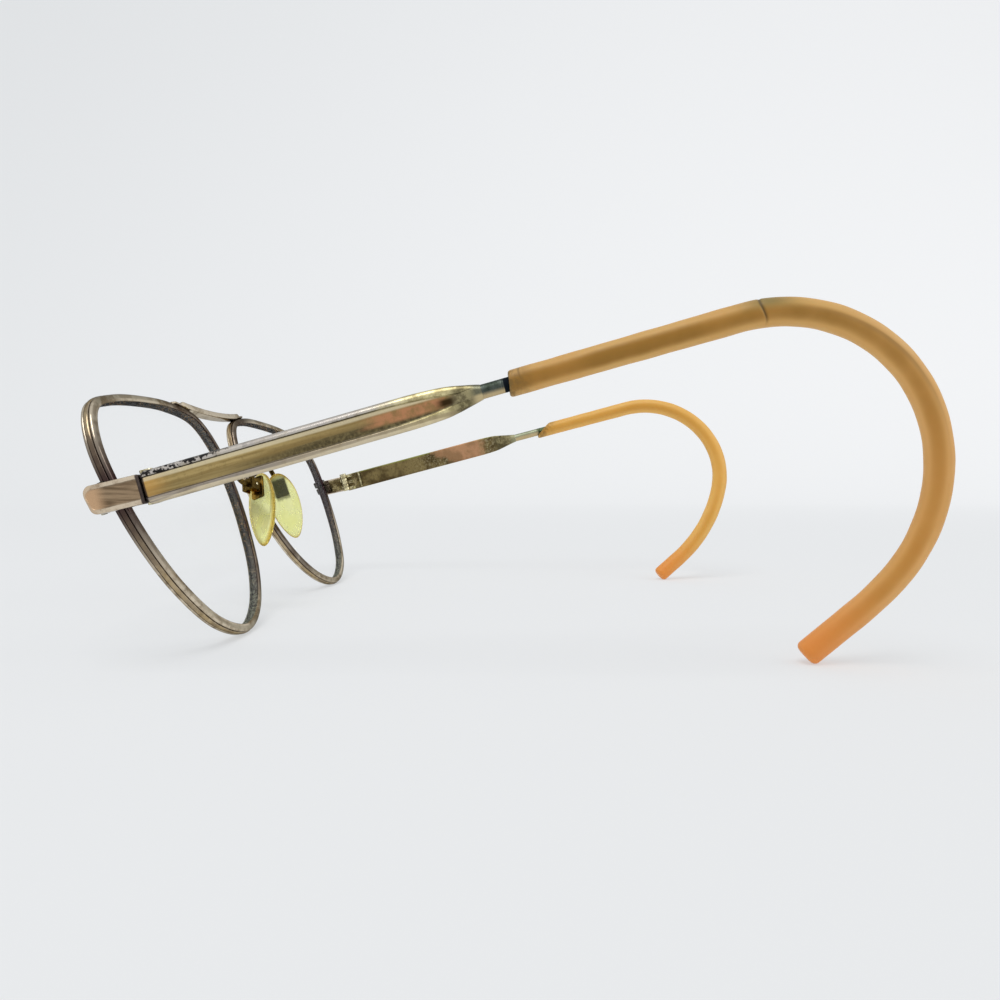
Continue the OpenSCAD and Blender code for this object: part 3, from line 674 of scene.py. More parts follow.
# %% [markdown]
# Cable and sleeve share one route: straight back, then round a tight bend and a wide one behind the
# ear, and down to the floor. Distance along the route is the parameter, and each stretch has its own
# formula. A curve object could carry both, but its length and its twist would then be Blender's choice,
# while the solid model needs these exact ones. Each hook also leans towards the head.

# %% The route behind the ear
STRAIGHT, CABLE_R, SLEEVE_R, SLEEVE_FIT, TIP_SOLID = 88.9, 1.06, 2.05, 0.1, 3.0
SLEEVE_START = {1: 55.0, -1: 63.2}


def outward(turned):
    """The direction from a bend's centre to the run, once the run has turned down by an angle."""
    return np.stack([np.sin(turned), np.cos(turned)], -1)


def hook(side, upper_r, upper_turn, lower_r, lower_turn, lean):
    """Centres, lengths and angles of both bends, and the straight tail that reaches down to the floor."""
    first, total = radians(upper_turn), radians(upper_turn + lower_turn)
    bend_a = np.array([STRAIGHT, -upper_r])
    bend_b = bend_a + (upper_r - lower_r) * outward(first)
    end = bend_b + lower_r * outward(total)
    slope, rise = radians(SLOPE[side]), np.cos(radians(SLOPE[side])) * np.cos(radians(lean))
    tail = (AXIS_Z + end[0] * np.sin(slope) + end[1] * rise - SLEEVE_R) / (
        np.sin(total) * rise - np.cos(total) * np.sin(slope))
    return {"radii": (upper_r, lower_r), "turns": (first, total), "centres": (bend_a, bend_b), "end": end,
            "runs": (first * upper_r, (total - first) * lower_r), "lean": lean, "tail": tail}


HOOKS = {1: hook(1, 24.7, 144.6, 47.2, 8.6, 10.9), -1: hook(-1, 21.4, 117.6, 39.8, 35.5, 17.8)}


def sleeve_end(side):
    """Distance along the route at which the straight tail ends and the tip begins."""
    return STRAIGHT + sum(HOOKS[side]["runs"]) + HOOKS[side]["tail"]


print("routes in mm:", {name: round(float(sleeve_end(side)), 1) for name, side in SIDES.items()})

# %% [markdown]
# A route gives a point and an outward direction at every distance. A round body on it is a circle in
# the plane of that direction and of X, so the circles need no cross products and never twist.

# %% Round bodies on the route
def route(distance, side):
    """Point and outward normal at each distance: a line, two arcs and a line, in the plane of the hook."""
    t = np.asarray(distance, dtype=float)
    bent = HOOKS[side]
    (first_r, second_r), (first, total), (run_a, run_b) = bent["radii"], bent["turns"], bent["runs"]
    turned = np.where(t < STRAIGHT, 0, np.where(
        t < STRAIGHT + run_a, (t - STRAIGHT) / first_r,
        np.minimum(first + (t - STRAIGHT - run_a) / second_r, total)))
    outer = outward(turned)
    past = t - STRAIGHT - run_a - run_b
    ahead = np.stack([np.cos(turned), -np.sin(turned)], -1)
    stretches = [np.stack([t, 0 * t], -1), bent["centres"][0] + first_r * outer,
                 bent["centres"][1] + second_r * outer, bent["end"] + past[..., None] * ahead]
    which = (t >= STRAIGHT).astype(int) + (t >= STRAIGHT + run_a) + (past >= 0)
    return np.choose(which[..., None], stretches), outer


def hook_place(flat, side):
    """From the hook's plane, with X sideways, to the model: lean, shift, then the temple's own place."""
    leaned = np.asarray(flat) @ turn("Y", HOOKS[side]["lean"]).T + [BAR_MID, 0, 0]
    return temple_place(leaned, side)


def round_run(side, distance, radius, shear, around, shape):
    """A circle carried along the route; shear slides points along it, shape adds to the radius by angle."""
    a = np.linspace(0, 2 * np.pi, around, endpoint=False)
    where = np.asarray(distance, dtype=float)[:, None] + np.asarray(shear)[..., None] * np.sin(a)
    flat, outer = route(where, side)
    r = np.broadcast_to(np.asarray(radius, dtype=float)[:, None], where.shape) + shape(where, a)
    rise = flat + (r * np.sin(a))[..., None] * outer
    grid = np.stack([r * np.cos(a), rise[..., 0], rise[..., 1]], -1)
    return hook_place(grid, side), where, a


print("hooks lean in degrees:", [HOOKS[side]["lean"] for side in HOOKS])

# %% [markdown]
# The sleeve is a soft tube that was pushed over the cable. It is one closed skin: it comes down the
# outside from its round tip to the open end, turns over the edge and goes back up the bore. Old tube
# swells and wavers a little, so two slow sine waves change its radius.

# %% The profile of a sleeve
TIP_REACH, TIP_CORNER = 0.66, 0.45
CRACK, MOUTH_CRACK, CRACK_DEPTH = 36.8, 2.4, 0.1


def sleeve_profile(side, start, end):
    """Distances, radii and how far inside: a quarter round at the tip, the body, the edge and the bore."""
    q = np.linspace(0, np.pi / 2, 9)
    flat, corner = SLEEVE_R * (1 - TIP_CORNER), SLEEVE_R * TIP_CORNER
    tip_s = end + SLEEVE_R * (TIP_REACH - TIP_CORNER) + corner * np.cos(q)
    tip_s = np.concatenate([np.full(4, tip_s[0] + 0.04), tip_s])
    tip_r = np.concatenate([flat * np.array([0.02, 0.3, 0.6, 0.86]), flat + corner * np.sin(q)])
    body = np.linspace(end, start + 0.5, 320)
    if side > 0:
        extra = [np.linspace(start + at - 1.2, start + at + 1.2, 49) for at in (CRACK, MOUTH_CRACK)]
        body = np.sort(np.concatenate([body, *extra]))[::-1]
    swell = 0.93 + 0.07 * ease((body - start) / 45) + 0.012 * np.sin(body * 0.9) * np.sin(body * 0.23)
    swell = swell + (1 - swell) * ease((body - end + 9) / 9)
    edge = np.linspace(0, np.pi, 9)[1:]
    mouth_r, bore_r = SLEEVE_R * swell[-1], CABLE_R + SLEEVE_FIT
    edge_s = start + 0.5 * (1 - np.sin(edge))
    edge_r = (mouth_r + bore_r) / 2 + (mouth_r - bore_r) / 2 * np.cos(edge)
    bore = np.linspace(start + 0.8, end - TIP_SOLID + SLEEVE_FIT, 120)
    s = np.concatenate([tip_s, body, edge_s, bore])
    r = np.concatenate([tip_r, SLEEVE_R * swell, edge_r, np.full(len(bore) - 1, bore_r), [0.05]])
    outside = np.zeros(len(tip_s) + len(body))
    inside = np.concatenate([outside, np.linspace(0, 1, len(edge_s)), np.ones(len(bore))])
    return s, r, inside[:, None]


for side_name, side in SIDES.items():
    print("sleeve in mm,", side_name, round(float(sleeve_end(side) - SLEEVE_START[side]), 1))

# %% [markdown]
# The near sleeve has cracked where it bends over the ear, and again near its mouth. A crack is a bell
# across the route that wanders with the angle and fades under the tube, and the same mask presses the
# surface in and darkens it. The far sleeve was cut off aslant, which is a shear of its first rings.

# %% Sleeves
def ear_crack(past, a):
    """A ring-shaped dent at a fixed distance past the mouth; it wavers and fades below."""
    return bump(past + 0.3 * np.sin(2 * a), CRACK, 0.2) * ease(np.sin(a) + 0.95)


def sleeve_masks(side, past, a, s, start, end):
    """Where the tube is cracked, stained, worn, pale or golden, and where the cable's shadow is painted on
    it.
    """
    near = side > 0
    mouth_crack = bump(past + 0.9 * np.sin(a + 0.9), MOUTH_CRACK + 0.2, 0.16) * ease(np.sin(a) + 0.1)
    top = (a + np.pi) % (2 * np.pi) - np.pi
    faded = 0.75 * ease((s - start - 40) / 45)[:, None]
    return {
        "tip": ease((s - end + 17) / 20)[:, None], "mouth": bump(s, start, 2.5)[:, None],
        "crack": (ear_crack(past, a) + 0.7 * mouth_crack) * near,
        "stain": bump(past, CRACK + 1.0, 3.4) * ease(np.sin(a) * 1.5 - 0.1) * near,
        # Painted shadow: a dark streak along the tube, cast by the cable inside.
        "wire": bump(top, 0.25, 0.14) * bump(past, 57, 13) * near,
        "golden": not near, "pale": faded if near else 1.0}


def make_sleeve(side_name):
    """The profile carried along the route, dented by the crack and sheared at the mouth."""
    side = SIDES[side_name]
    start, end = SLEEVE_START[side], sleeve_end(side)
    s, r, inside = sleeve_profile(side, start, end)
    shear = {1: 0.25, -1: 2.2}[side] * ease(1 - (s - start) / 7)
    dent = lambda where, a: -CRACK_DEPTH * ear_crack(where - start, a) * (side > 0)
    rings, where, a = round_run(side, s, r, shear, 44, dent)
    masks = {"inside": inside, **sleeve_masks(side, where - start, a, s, start, end)}
    piece = ring_stack(f"tube_{side_name}", rings, masks, 60)
    node = f"sleeve_{side_name}"
    seat(piece, f"temple_{side_name}", node)


print("the near sleeve's cracks lie", MOUTH_CRACK, "and", CRACK, "mm past its mouth")

# %% [markdown]
# The cable is a core wound round with finer wire. At this size the winding is only a helix in the
# surface of a rod: depth depends on distance along the rod less half the angle round it. Real coils
# would cost many times the faces and look the same. Where it enters the sleeve it gets painted shade.

# %% Cables, with their sleeves
COIL_PITCH, COIL_DEPTH = 0.36, 0.014


def winding(where, a):
    """1 between two turns of the winding and 0 on top of a turn."""
    return 1 - np.abs(np.sin(np.pi * where / COIL_PITCH - a / 2))


def make_cable(side_name):
    """A circle carried along the route, six rings to a turn of the winding."""
    side = SIDES[side_name]
    s = np.arange(NECK_END[side] + 0.02, sleeve_end(side) - TIP_SOLID, COIL_PITCH / 6)
    rings, where, a = round_run(side, s, np.full(len(s), CABLE_R), 0.0, 24,
                                lambda where, a: -COIL_DEPTH * winding(where, a))
    # The bump at the sleeve's start marks painted shade where the cable enters it; under marks the underside,
    # which gets a painted highlight.
    mouth_shade = bump(where, SLEEVE_START[side] - 0.3, 0.55 if side > 0 else 1.7)
    masks = {"groove": 0.3 * ease(winding(where, a) * 1.6 - 0.3) + mouth_shade,
             "under": ease(-np.sin(a) * 1.6), "pale": side < 0}
    piece = ring_stack(f"winding_{side_name}", rings, masks, 80)
    node = f"cable_{side_name}"
    seat(piece, f"temple_{side_name}", node)


for side_name in SIDES:
    make_sleeve(side_name)
    make_cable(side_name)
cable_run = float(sleeve_end(1) - TIP_SOLID - NECK_END[1])
print("turns of the left cable's winding:", round(cable_run / COIL_PITCH))

# %% [markdown]
# A nose pad is a clear oval drop of plastic, moulded round a small metal plate and domed on the side
# of the nose. Its outline is an ellipse that is fuller at one end. Rings of that outline shrink towards
# the flat back and round over into the dome. It could be sculpted from a squashed sphere, but rings
# keep its edge even. The masks mark that edge and the plate's dark shape and shade, painted on the plastic.

# %% Nose pads
PIN_X, PIN_BACK, PIN_S, PAD_LEN, PAD_W, PAD_T = 8.7, 4.6, 26.8, 17.0, 6.8, 2.5
PAD_SPLAY, PAD_SLANT, PAD_LEAN, ARM_R = 22.0, 22.0, 14.0, 0.55
PAD_FACE, PAD_LOW, PAD_BACK_SHARE, EDGE_WIDE = -1.9, 4.8, 0.3, 0.86
DOME_PLATE_SHADE = {1: 0.2, -1: 0.8}
PAD_TURN = turn("X", -PAD_LEAN) @ turn("Y", -PAD_SLANT) @ turn("Z", -PAD_SPLAY)


def pad_place(p, side):
    """Splay about Z, slant about Y, lean about X, shift to the pin, then the front's own place."""
    return front_place(np.asarray(p) @ PAD_TURN.T + [PIN_X, PIN_BACK, PIN_S], side)


def make_nose_pad(side_name):
    """Rings run from the middle of the back, round the edge (q below 0) and over the dome (q above 0)."""
    side = SIDES[side_name]
    a = np.linspace(0, 2 * np.pi, 72, endpoint=False)
    q = np.concatenate([np.linspace(-np.pi / 2, 0, 10)[1:], np.linspace(0, np.pi / 2, 26)[1:-1]])
    flat = np.linspace(0.03, EDGE_WIDE, 30)
    dome = PAD_BACK_SHARE + np.where(q < 0, PAD_BACK_SHARE, 1 - PAD_BACK_SHARE) * np.sin(q)
    deep = np.concatenate([0 * flat, dome])
    wide = np.concatenate([flat, np.where(q < 0, EDGE_WIDE + (1 - EDGE_WIDE) * np.cos(q), np.cos(q) ** 0.8)])
    x = PAD_FACE - 0.05 - deep * PAD_T
    y = PAD_W / 2 * np.cos(a) * (1 + 0.14 * np.sin(a)) * (1 - 0.12 * ease(-np.sin(a) - 0.3))
    z = PAD_LEN / 2 * np.sin(a) - PAD_LOW
    grid = np.stack([np.broadcast_to(x[:, None], (len(x), len(a))), wide[:, None] * y,
                     wide[:, None] * (z + PAD_LOW) - PAD_LOW], -1)
    over_plate = ease((1.7 - np.abs(grid[..., 1])) / 0.3) * ease((2.6 - np.abs(grid[..., 2])) / 0.3)
    # Painted shade: the plate's dark shape on the flat back, and on the dome by side.
    plate_shade = over_plate * np.where(deep == 0, 1.0, DOME_PLATE_SHADE[side])[:, None]
    masks = {"rim": wide[:, None] ** 6, "plate_shade": plate_shade}
    piece = ring_stack(f"pad_{side_name}", pad_place(grid, side), masks, 60)
    node = f"nose_pad_{side_name}"
    seat(piece, f"pad_{side_name}", node)


print("pads:", PAD_LEN, "by", PAD_W, "by", PAD_T, "mm")

# %% [markdown]
# The pad rocks on a pin in a small open box, and a bent wire carries the box from the back of the rim.
# It could be drawn by hand as a bezier curve. Here it is a tube on a smooth path through seven points,
# the last two in line with the pad's own direction, so that the wire meets the box square.

# %% Pad arms
BOX_W, BOX_H, BOX_WALL, BOX_OUT, PIN_R = 2.4, 2.6, 0.35, 1.35, 0.35


def make_pad_arm(side_name):
    """A wire from the rim, back and out, then into the middle of the box along the pad's own direction."""
    side = SIDES[side_name]
    foot = np.array([RIM_GAP / 2 + 0.2, NASAL_N + RIM_D / 2 - 0.15, BRIDGE_S - 2])
    pin, out = np.array([PIN_X, PIN_BACK, PIN_S]), PAD_TURN[:, 0]
    path = smooth_line([
        foot, foot + [0.1, 1.1, 0.15], foot + [1.5, 2.8, 0.9], foot + [3.9, 3.6, 0.9],
        pin + (BOX_OUT + 1.9) * out + [0, 0, 1], pin + (BOX_OUT + 1) * out, pin + (BOX_OUT - 0.05) * out], 12)
    arm = tube(f"arm_{side_name}", front_place(path, side), ARM_R, 18)
    seat(arm, "front", f"pad_arm_{side_name}")


print("pad arms: wire of", 2 * ARM_R, "mm")

# %% [markdown]
# The box is folded from sheet: a back with two cheeks. The mount is a disc in the pad's back, with a
# tongue and an eye that turns on the pin. All are plates and turned pieces like those of the hinge,
# but in the pad's own place, and the parts of one piece are joined.

# %% Boxes, pins and mounts of the pads
UPRIGHT = turn("X", 90)


def block(width, height, low=None):
    """The corners of a rectangle, centred across unless its low side is given."""
    low = -width / 2 if low is None else low
    return [[low, -height / 2], [low + width, -height / 2], [low + width, height / 2], [low, height / 2]]


def make_pad_box(side_name):
    """A back with two cheeks, and a pin turned through both of them."""
    side = SIDES[side_name]
    place = lambda p: pad_place(p, side)
    wide = BOX_W / 2 + BOX_WALL
    back = plate("back", block(2 * wide, BOX_H), BOX_OUT - BOX_WALL, BOX_OUT, 0.1, place, 0.2)
    cheeks = [plate("cheek", block(BOX_WALL, BOX_H, low), -0.75, BOX_OUT - BOX_WALL + 0.02, 0.08, place, 0.08)
              for low in (-wide, wide - BOX_WALL)]
    box = join(f"box_{side_name}", [back] + cheeks)
    seat(box, "front", f"pad_box_{side_name}")
    reach = wide + 0.05
    profile = [[0.2, -reach], [PIN_R, -reach + 0.1], [PIN_R, reach - 0.1], [0.2, reach]]
    pin = lathe(f"pin_{side_name}", profile, lambda p: place(p @ UPRIGHT.T), around=24)
    seat(pin, "front", f"pad_pin_{side_name}")


def make_pad_mount(side_name):
    """A disc in the pad's back, a tongue out of it and an eye round the pin."""
    side = SIDES[side_name]
    place = lambda p: pad_place(p, side)
    disc = plate("disc", block(3.2, 5), PAD_FACE + 0.01, PAD_FACE + 0.56, 0.12, place, 0.5)
    tongue = plate("tongue", block(2.1, 1.5), PAD_FACE + 0.5, 0.0, 0.1, place, 0.1)
    eye = lathe("eye", [[0.38, -1.05], [0.7, -1.05], [0.75, -1.0], [0.75, 1.0], [0.7, 1.05], [0.38, 1.05]],
                lambda p: place(p @ UPRIGHT.T), around=32)
    mount = join(f"mount_{side_name}", [disc, tongue, eye])
    seat(mount, f"pad_{side_name}", f"pad_mount_{side_name}")


for side_name in SIDES:
    for make in (make_nose_pad, make_pad_arm, make_pad_box, make_pad_mount):
        make(side_name)
print("pieces made:", len(pieces))

# %% [markdown]
# A finish is a small net of nodes. Each helper here makes one node and wires it, so that a finish can
# be read as a formula. The same net could be laid by hand in the shader editor and would look the same,
# but this way a colour or a width is changed in one place. Masks come from the meshes, and noise is
# taken in each object's own space.

# %% Node helpers
def plug(tree, value, socket):
    """A value that comes from a node is linked, and a plain number or colour is set on the socket."""
    if isinstance(value, bpy.types.NodeSocket):
        tree.links.new(value, socket)
    else:
        socket.default_value = value


def feed(tree, node, values):
    """Several inputs of one node at once."""
    for key, value in values.items():
        plug(tree, value, node.inputs[key])


def add(tree, kind, values=None, **settings):
    """One node with its settings and its inputs."""
    made = tree.nodes.new(kind)
    for key, value in settings.items():
        setattr(made, key, value)
    feed(tree, made, values or {})
    return made


print("helpers: plug, feed, add")

# %% [markdown]
# The kinds of node that the finishes need: a mask read from the mesh, noise, a band that turns a
# stretch of values into a smooth step, a mix of two colours and one step of arithmetic.

# %% Masks, noise, bands and mixes
def mask_of(tree, label):
    """A mask that was written on the mesh; it is 0 on a mesh that doesn't have it."""
    return add(tree, "ShaderNodeAttribute", attribute_name=label).outputs["Fac"]


def noise(tree, vector, scale, detail, roughness=0.55):
    """Clouds round 0.5; a larger scale makes them finer."""
    return add(tree, "ShaderNodeTexNoise", {
        "Vector": vector, "Scale": scale, "Detail": detail, "Roughness": roughness}).outputs["Fac"]


def band(tree, value, low, high, to_low=0.0, to_high=1.0):
    """Maps a stretch of values onto another, with smooth ends."""
    return add(tree, "ShaderNodeMapRange", {
        "Value": value, "From Min": low, "From Max": high, "To Min": to_low, "To Max": to_high},
        interpolation_type="SMOOTHSTEP").outputs["Result"]


def mix(tree, factor, first, second):
    """The first colour where the factor is 0, and the second where it is 1."""
    made = add(tree, "ShaderNodeMix", data_type="RGBA")
    feed(tree, made, {0: factor, 6: first, 7: second})
    return made.outputs[2]


def maths(tree, operation, first, second=0.0):
    """One Math node."""
    return add(tree, "ShaderNodeMath", {0: first, 1: second}, operation=operation).outputs[0]


print("helpers: mask_of, noise, band, mix, maths")

# %% [markdown]
# Products and sums of masks come up in every finish, so each gets a short name. A colour is given as
# it looks on a screen, because that is how a colour is picked, and turned into the linear light that
# a shader adds up.

# %% Sums, products, layers and colours
def times(tree, first, *others):
    """A product of values."""
    for other in others:
        first = maths(tree, "MULTIPLY", first, other)
    return first


def plus(tree, first, *others):
    """A sum of values."""
    for other in others:
        first = maths(tree, "ADD", first, other)
    return first


def minus(tree, first, second):
    """A difference of two values."""
    return maths(tree, "SUBTRACT", first, second)


def rest(tree, mask):
    """Everywhere that a mask isn't: 1 less the mask."""
    return minus(tree, 1.0, mask)


def layer(tree, colour, label, strength, tint):
    """A tint laid over a colour where a mask of the mesh is high."""
    return mix(tree, times(tree, mask_of(tree, label), strength), colour, tint)


def rgb(red, green, blue):
    """A colour as it looks on a screen, 0 to 255, as the linear value that a shader needs."""
    c = np.array([red, green, blue]) / 255
    return (*np.where(c < 0.04045, c / 12.92, ((c + 0.055) / 1.055) ** 2.4), 1.0)


def two_tone(tree, field, low, high, first, second):
    """Two colours that change places where a field passes from low to high."""
    return mix(tree, band(tree, field, low, high), rgb(*first), rgb(*second))


print("middle grey of a screen in linear light:", round(float(rgb(128, 128, 128)[0]), 3))

# %% [markdown]
# Old gold-filled metal is never one colour. The gold wears through to silver and copper, grooves hold
# black tarnish, and acid from the skin turns patches green. One shared group mixes three colours by
# noise and by the groove mask, and also puts out roughness and height, so that every metal ages alike.
# Noise of three sizes does it: broad clouds for the tarnish, fine ones for spots, grain for the gloss.

# %% The shared group for aged metal
FINE, GRAIN = 6.0, 25.0


def aged_metal_group():
    """Clean metal, tarnished by broad noise, darkened by fine noise and where the groove mask is high."""
    tree = bpy.data.node_groups.new("aged metal", "ShaderNodeTree")
    for label, kind, default in [
            ("Vector", "Vector", (0, 0, 0)), ("Clean", "Color", (0.8, 0.7, 0.5, 1)),
            ("Tarnish", "Color", (0.4, 0.3, 0.2, 1)), ("Dark", "Color", (0.03, 0.03, 0.03, 1)),
            ("Amount", "Float", 0.5), ("Spots", "Float", 0.3), ("Groove", "Float", 0.0),
            ("Scale", "Float", 300.0)]:
        socket = tree.interface.new_socket(label, in_out="INPUT", socket_type=f"NodeSocket{kind}")
        socket.default_value = default
    for label in ("Color", "Roughness", "Metallic", "Height"):
        kind = "Color" if label == "Color" else "Float"
        tree.interface.new_socket(label, in_out="OUTPUT", socket_type=f"NodeSocket{kind}")
    given = tree.nodes.new("NodeGroupInput").outputs
    place, scale = given["Vector"], given["Scale"]
    broad = noise(tree, place, scale, 5, 0.6)
    fine = noise(tree, place, times(tree, scale, FINE), 6, 0.65)
    grain = noise(tree, place, times(tree, scale, GRAIN), 3, 0.6)
    uneven = minus(tree, fine, 0.5)
    more = minus(tree, given["Amount"], 0.5)
    stain = band(tree, plus(tree, broad, more, times(tree, uneven, 0.35)), 0.38, 0.62)
    spots = band(tree, plus(tree, fine, times(tree, given["Spots"], 0.25)), 0.62, 0.74)
    grooves = band(tree, plus(tree, given["Groove"], times(tree, uneven, 0.5)), 0.2, 0.75)
    dark = maths(tree, "MAXIMUM", times(tree, spots, given["Spots"]), grooves)
    add(tree, "NodeGroupOutput", {
        "Color": mix(tree, dark, mix(tree, stain, given["Clean"], given["Tarnish"]), given["Dark"]),
        "Roughness": plus(tree, times(tree, stain, 0.14), times(tree, dark, 0.3), times(tree, grain, 0.25)),
        "Metallic": rest(tree, times(tree, dark, 0.3)),
        "Height": plus(tree, times(tree, grain, 0.3), times(tree, rest(tree, dark), 0.6))})
    return tree


AGED = aged_metal_group()
print("nodes in the aged metal group:", len(AGED.nodes))

# %% [markdown]
# Every metal is the plain Principled shader, fed by that group. What one piece has and another hasn't
# is given as a function of its own, which gets the group's colour and may lay more over it. Worn metal
# shines less at glancing angles than a mirror does, so the tint of those reflections is darkened.

# %% One metal
DENT, SHINE = 0.02, 0.05


def new_material(name):
    """A material with its tree and its Principled shader."""
    material = bpy.data.materials.new(name)
    material.use_nodes = True
    return material, material.node_tree, material.node_tree.nodes["Principled BSDF"]


def object_place(tree):
    """Coordinates in the object's own space, in metres."""
    return add(tree, "ShaderNodeTexCoord").outputs["Object"]


def dents(tree, height, strength):
    """A normal that follows a height, for dents of a fiftieth of a millimetre."""
    return add(tree, "ShaderNodeBump", {
        "Height": height, "Distance": DENT * MM, "Strength": strength}).outputs["Normal"]


def metal(name, clean, tarnish, dark, amount, spots, scale, extra=None, edge=0.7):
    """A metal of three colours; extra lays more over them, edge darkens glancing reflections."""
    material, tree, shader = new_material(name)
    place = object_place(tree)
    aged = add(tree, "ShaderNodeGroup", {
        "Vector": place, "Groove": mask_of(tree, "groove"), "Clean": rgb(*clean), "Tarnish": rgb(*tarnish),
        "Dark": rgb(*dark), "Amount": amount, "Spots": spots, "Scale": scale}, node_tree=AGED).outputs
    colour, rough, metallic = aged["Color"], aged["Roughness"], aged["Metallic"]
    if extra:
        colour, rough, metallic = extra(tree, place, colour, rough, metallic)
    feed(tree, shader, {
        "Base Color": colour, "Roughness": rough, "Metallic": metallic,
        "Normal": dents(tree, aged["Height"], 0.6),
        "Specular Tint": (edge, edge, edge, 1), "Specular IOR Level": SHINE})
    return material


print("dents of", DENT, "mm, reflection level", SHINE)

# %% [markdown]
# The rims are pale champagne gold with a duller middle bead, and the silver shows through on their
# flanks. Their channel has never been polished, so it is black and brown with golden crumbs, grey-green
# low down, and hardly metallic any more. Soot gathers beside the endpieces. All this follows masks of
# the section, so it stays in its groove all the way round. An image texture would need an unwrapped
# mesh, and its crumbs would be blurred close up.

# %% Rim finish
CRUMB_SCALE, PATCH_SCALE = 1900.0, 300.0
GOLD_CRUMBS, PALE_CRUMBS, PALE_BELOW = (0.69, 0.78), (0.42, 0.52), (0.32, 0.26)


def rim_ageing(tree, place, colour, rough, metallic):
    """Bead and flank are tinted, the channel gets its dirt and crumbs, then the soot and the darker back of
    the nose side go over all.
    """
    crumbs = noise(tree, place, CRUMB_SCALE, 5, 0.75)
    patch = noise(tree, place, PATCH_SCALE, 3, 0.6)
    lift, channel = mask_of(tree, "lift"), mask_of(tree, "channel")
    blotch = band(tree, patch, 0.4, 0.6)
    dirt = mix(tree, blotch, rgb(30, 24, 22), rgb(48, 42, 32))
    golden = band(tree, plus(tree, crumbs, times(tree, patch, 0.3)), *GOLD_CRUMBS)
    dirt = mix(tree, golden, dirt, rgb(168, 128, 80))
    pale = band(tree, plus(tree, crumbs, times(tree, lift, -0.5)), *PALE_CRUMBS)
    dirt = mix(tree, times(tree, pale, band(tree, lift, *PALE_BELOW)), dirt, rgb(136, 138, 118))
    bead = mix(tree, blotch, rgb(186, 162, 118), rgb(132, 110, 76))
    flank = two_tone(tree, patch, 0.42, 0.58, (182, 174, 154), (128, 116, 96))
    colour = layer(tree, layer(tree, colour, "bead", 0.7, bead), "flank", 0.6, flank)
    colour = mix(tree, channel, colour, dirt)
    colour = layer(tree, colour, "soot", band(tree, patch, 0.12, 0.42), rgb(56, 40, 42))
    rough = plus(tree, rough, times(tree, channel, 0.3))
    return colour, rough, times(tree, metallic, rest(tree, times(tree, channel, 0.85)))


finishes = {"rim_metal": metal("rim metal", (226, 212, 188), (150, 134, 110), (66, 52, 38), 0.46, 0.22, 130.0,
                               extra=rim_ageing, edge=0.35)}
print("rim finish:", len(finishes["rim_metal"].node_tree.nodes), "nodes")

# %% [markdown]
# Bridge, clamps, screws and pad wires are small, so the shared group is enough for them, each with its
# own three colours and its own grain. Hinge and cable have one thing more each. The knuckles are
# rubbed bright by turning. The cables are dark steel with a painted tan highlight below, and the far
# one is pale above, with painted dark green shade where it enters the sleeve.

# %% Finishes of the small metal pieces
def hinge_ageing(tree, place, colour, rough, metallic):
    """Bright where the mask is high and the noise is low."""
    rubbed = band(tree, noise(tree, place, 700.0, 4, 0.6), 0.6, 0.42, 0.35, 1.0)
    return layer(tree, colour, "bright", rubbed, rgb(224, 214, 172)), rough, metallic


def wire_ageing(tree, place, colour, rough, metallic):
    """Pale on the far side, painted green shade at its mouth, a painted tan highlight below; clear is 0 at
    the mouth of the sleeve.
    """
    clear = rest(tree, band(tree, mask_of(tree, "groove"), 0.4, 0.7))
    far = mask_of(tree, "pale")
    colour = mix(tree, times(tree, far, 0.75, clear), colour, rgb(158, 162, 134))
    # Painted shade: mottled dark green on the far cable where it goes into the sleeve.
    mouth_shade = two_tone(tree, noise(tree, place, 900.0, 3, 0.6), 0.4, 0.6, (52, 66, 40), (120, 132, 96))
    colour = mix(tree, times(tree, far, rest(tree, clear)), colour, mouth_shade)
    # Painted highlight: the cable's underside is lighter tan.
    colour = mix(tree, times(tree, mask_of(tree, "under"), 0.85, clear), colour, rgb(208, 186, 142))
    return colour, plus(tree, rough, 0.28), metallic


small_metals = {
    "bridge_metal": ("bridge metal", (222, 208, 184), (158, 142, 116), (70, 58, 46), 0.42, 0.25, 160.0),
    "lock_metal": ("clamp metal", (96, 88, 76), (58, 56, 46), (22, 22, 20), 0.6, 0.6, 500.0),
    "screw_metal": ("screw metal", (214, 204, 170), (150, 136, 96), (40, 36, 28), 0.4, 0.4, 600.0),
    "hinge_metal": ("hinge metal", (150, 136, 98), (98, 84, 54), (40, 34, 22), 0.5, 0.4, 420.0),
    "pad_metal": ("pad metal", (170, 132, 56), (84, 68, 34), (34, 28, 16), 0.6, 0.5, 320.0),
    "cable_wire": ("cable wire", (84, 90, 84), (60, 68, 58), (24, 30, 36), 0.5, 0.25, 300.0)}
own_ways = {"bridge_metal": {"edge": 0.5}, "hinge_metal": {"extra": hinge_ageing}, "pad_metal": {"edge": 0.4},
            "cable_wire": {"extra": wire_ageing}}
for slot_name, looks in small_metals.items():
    finishes[slot_name] = metal(*looks, **own_ways.get(slot_name, {}))
print("metals so far:", len(finishes))

# %% [markdown]
# An endpiece has a bright cream frame round a brown sunk panel, which turns to peach at its nose. The
# brown is streaked along the piece: the noise is stretched by scaling its coordinates before it is
# made. At the hinge, a dark band of painted shade covers the endpiece's rounded end.

# %% Endpiece finish
STREAKS = (1, 0.12, 2.0)
PEACH_NOSE, PALE_NOSE, JOINT_SHADE = (-5.2, -7.4), (-6.4, -8.4), (-0.72, -0.5)


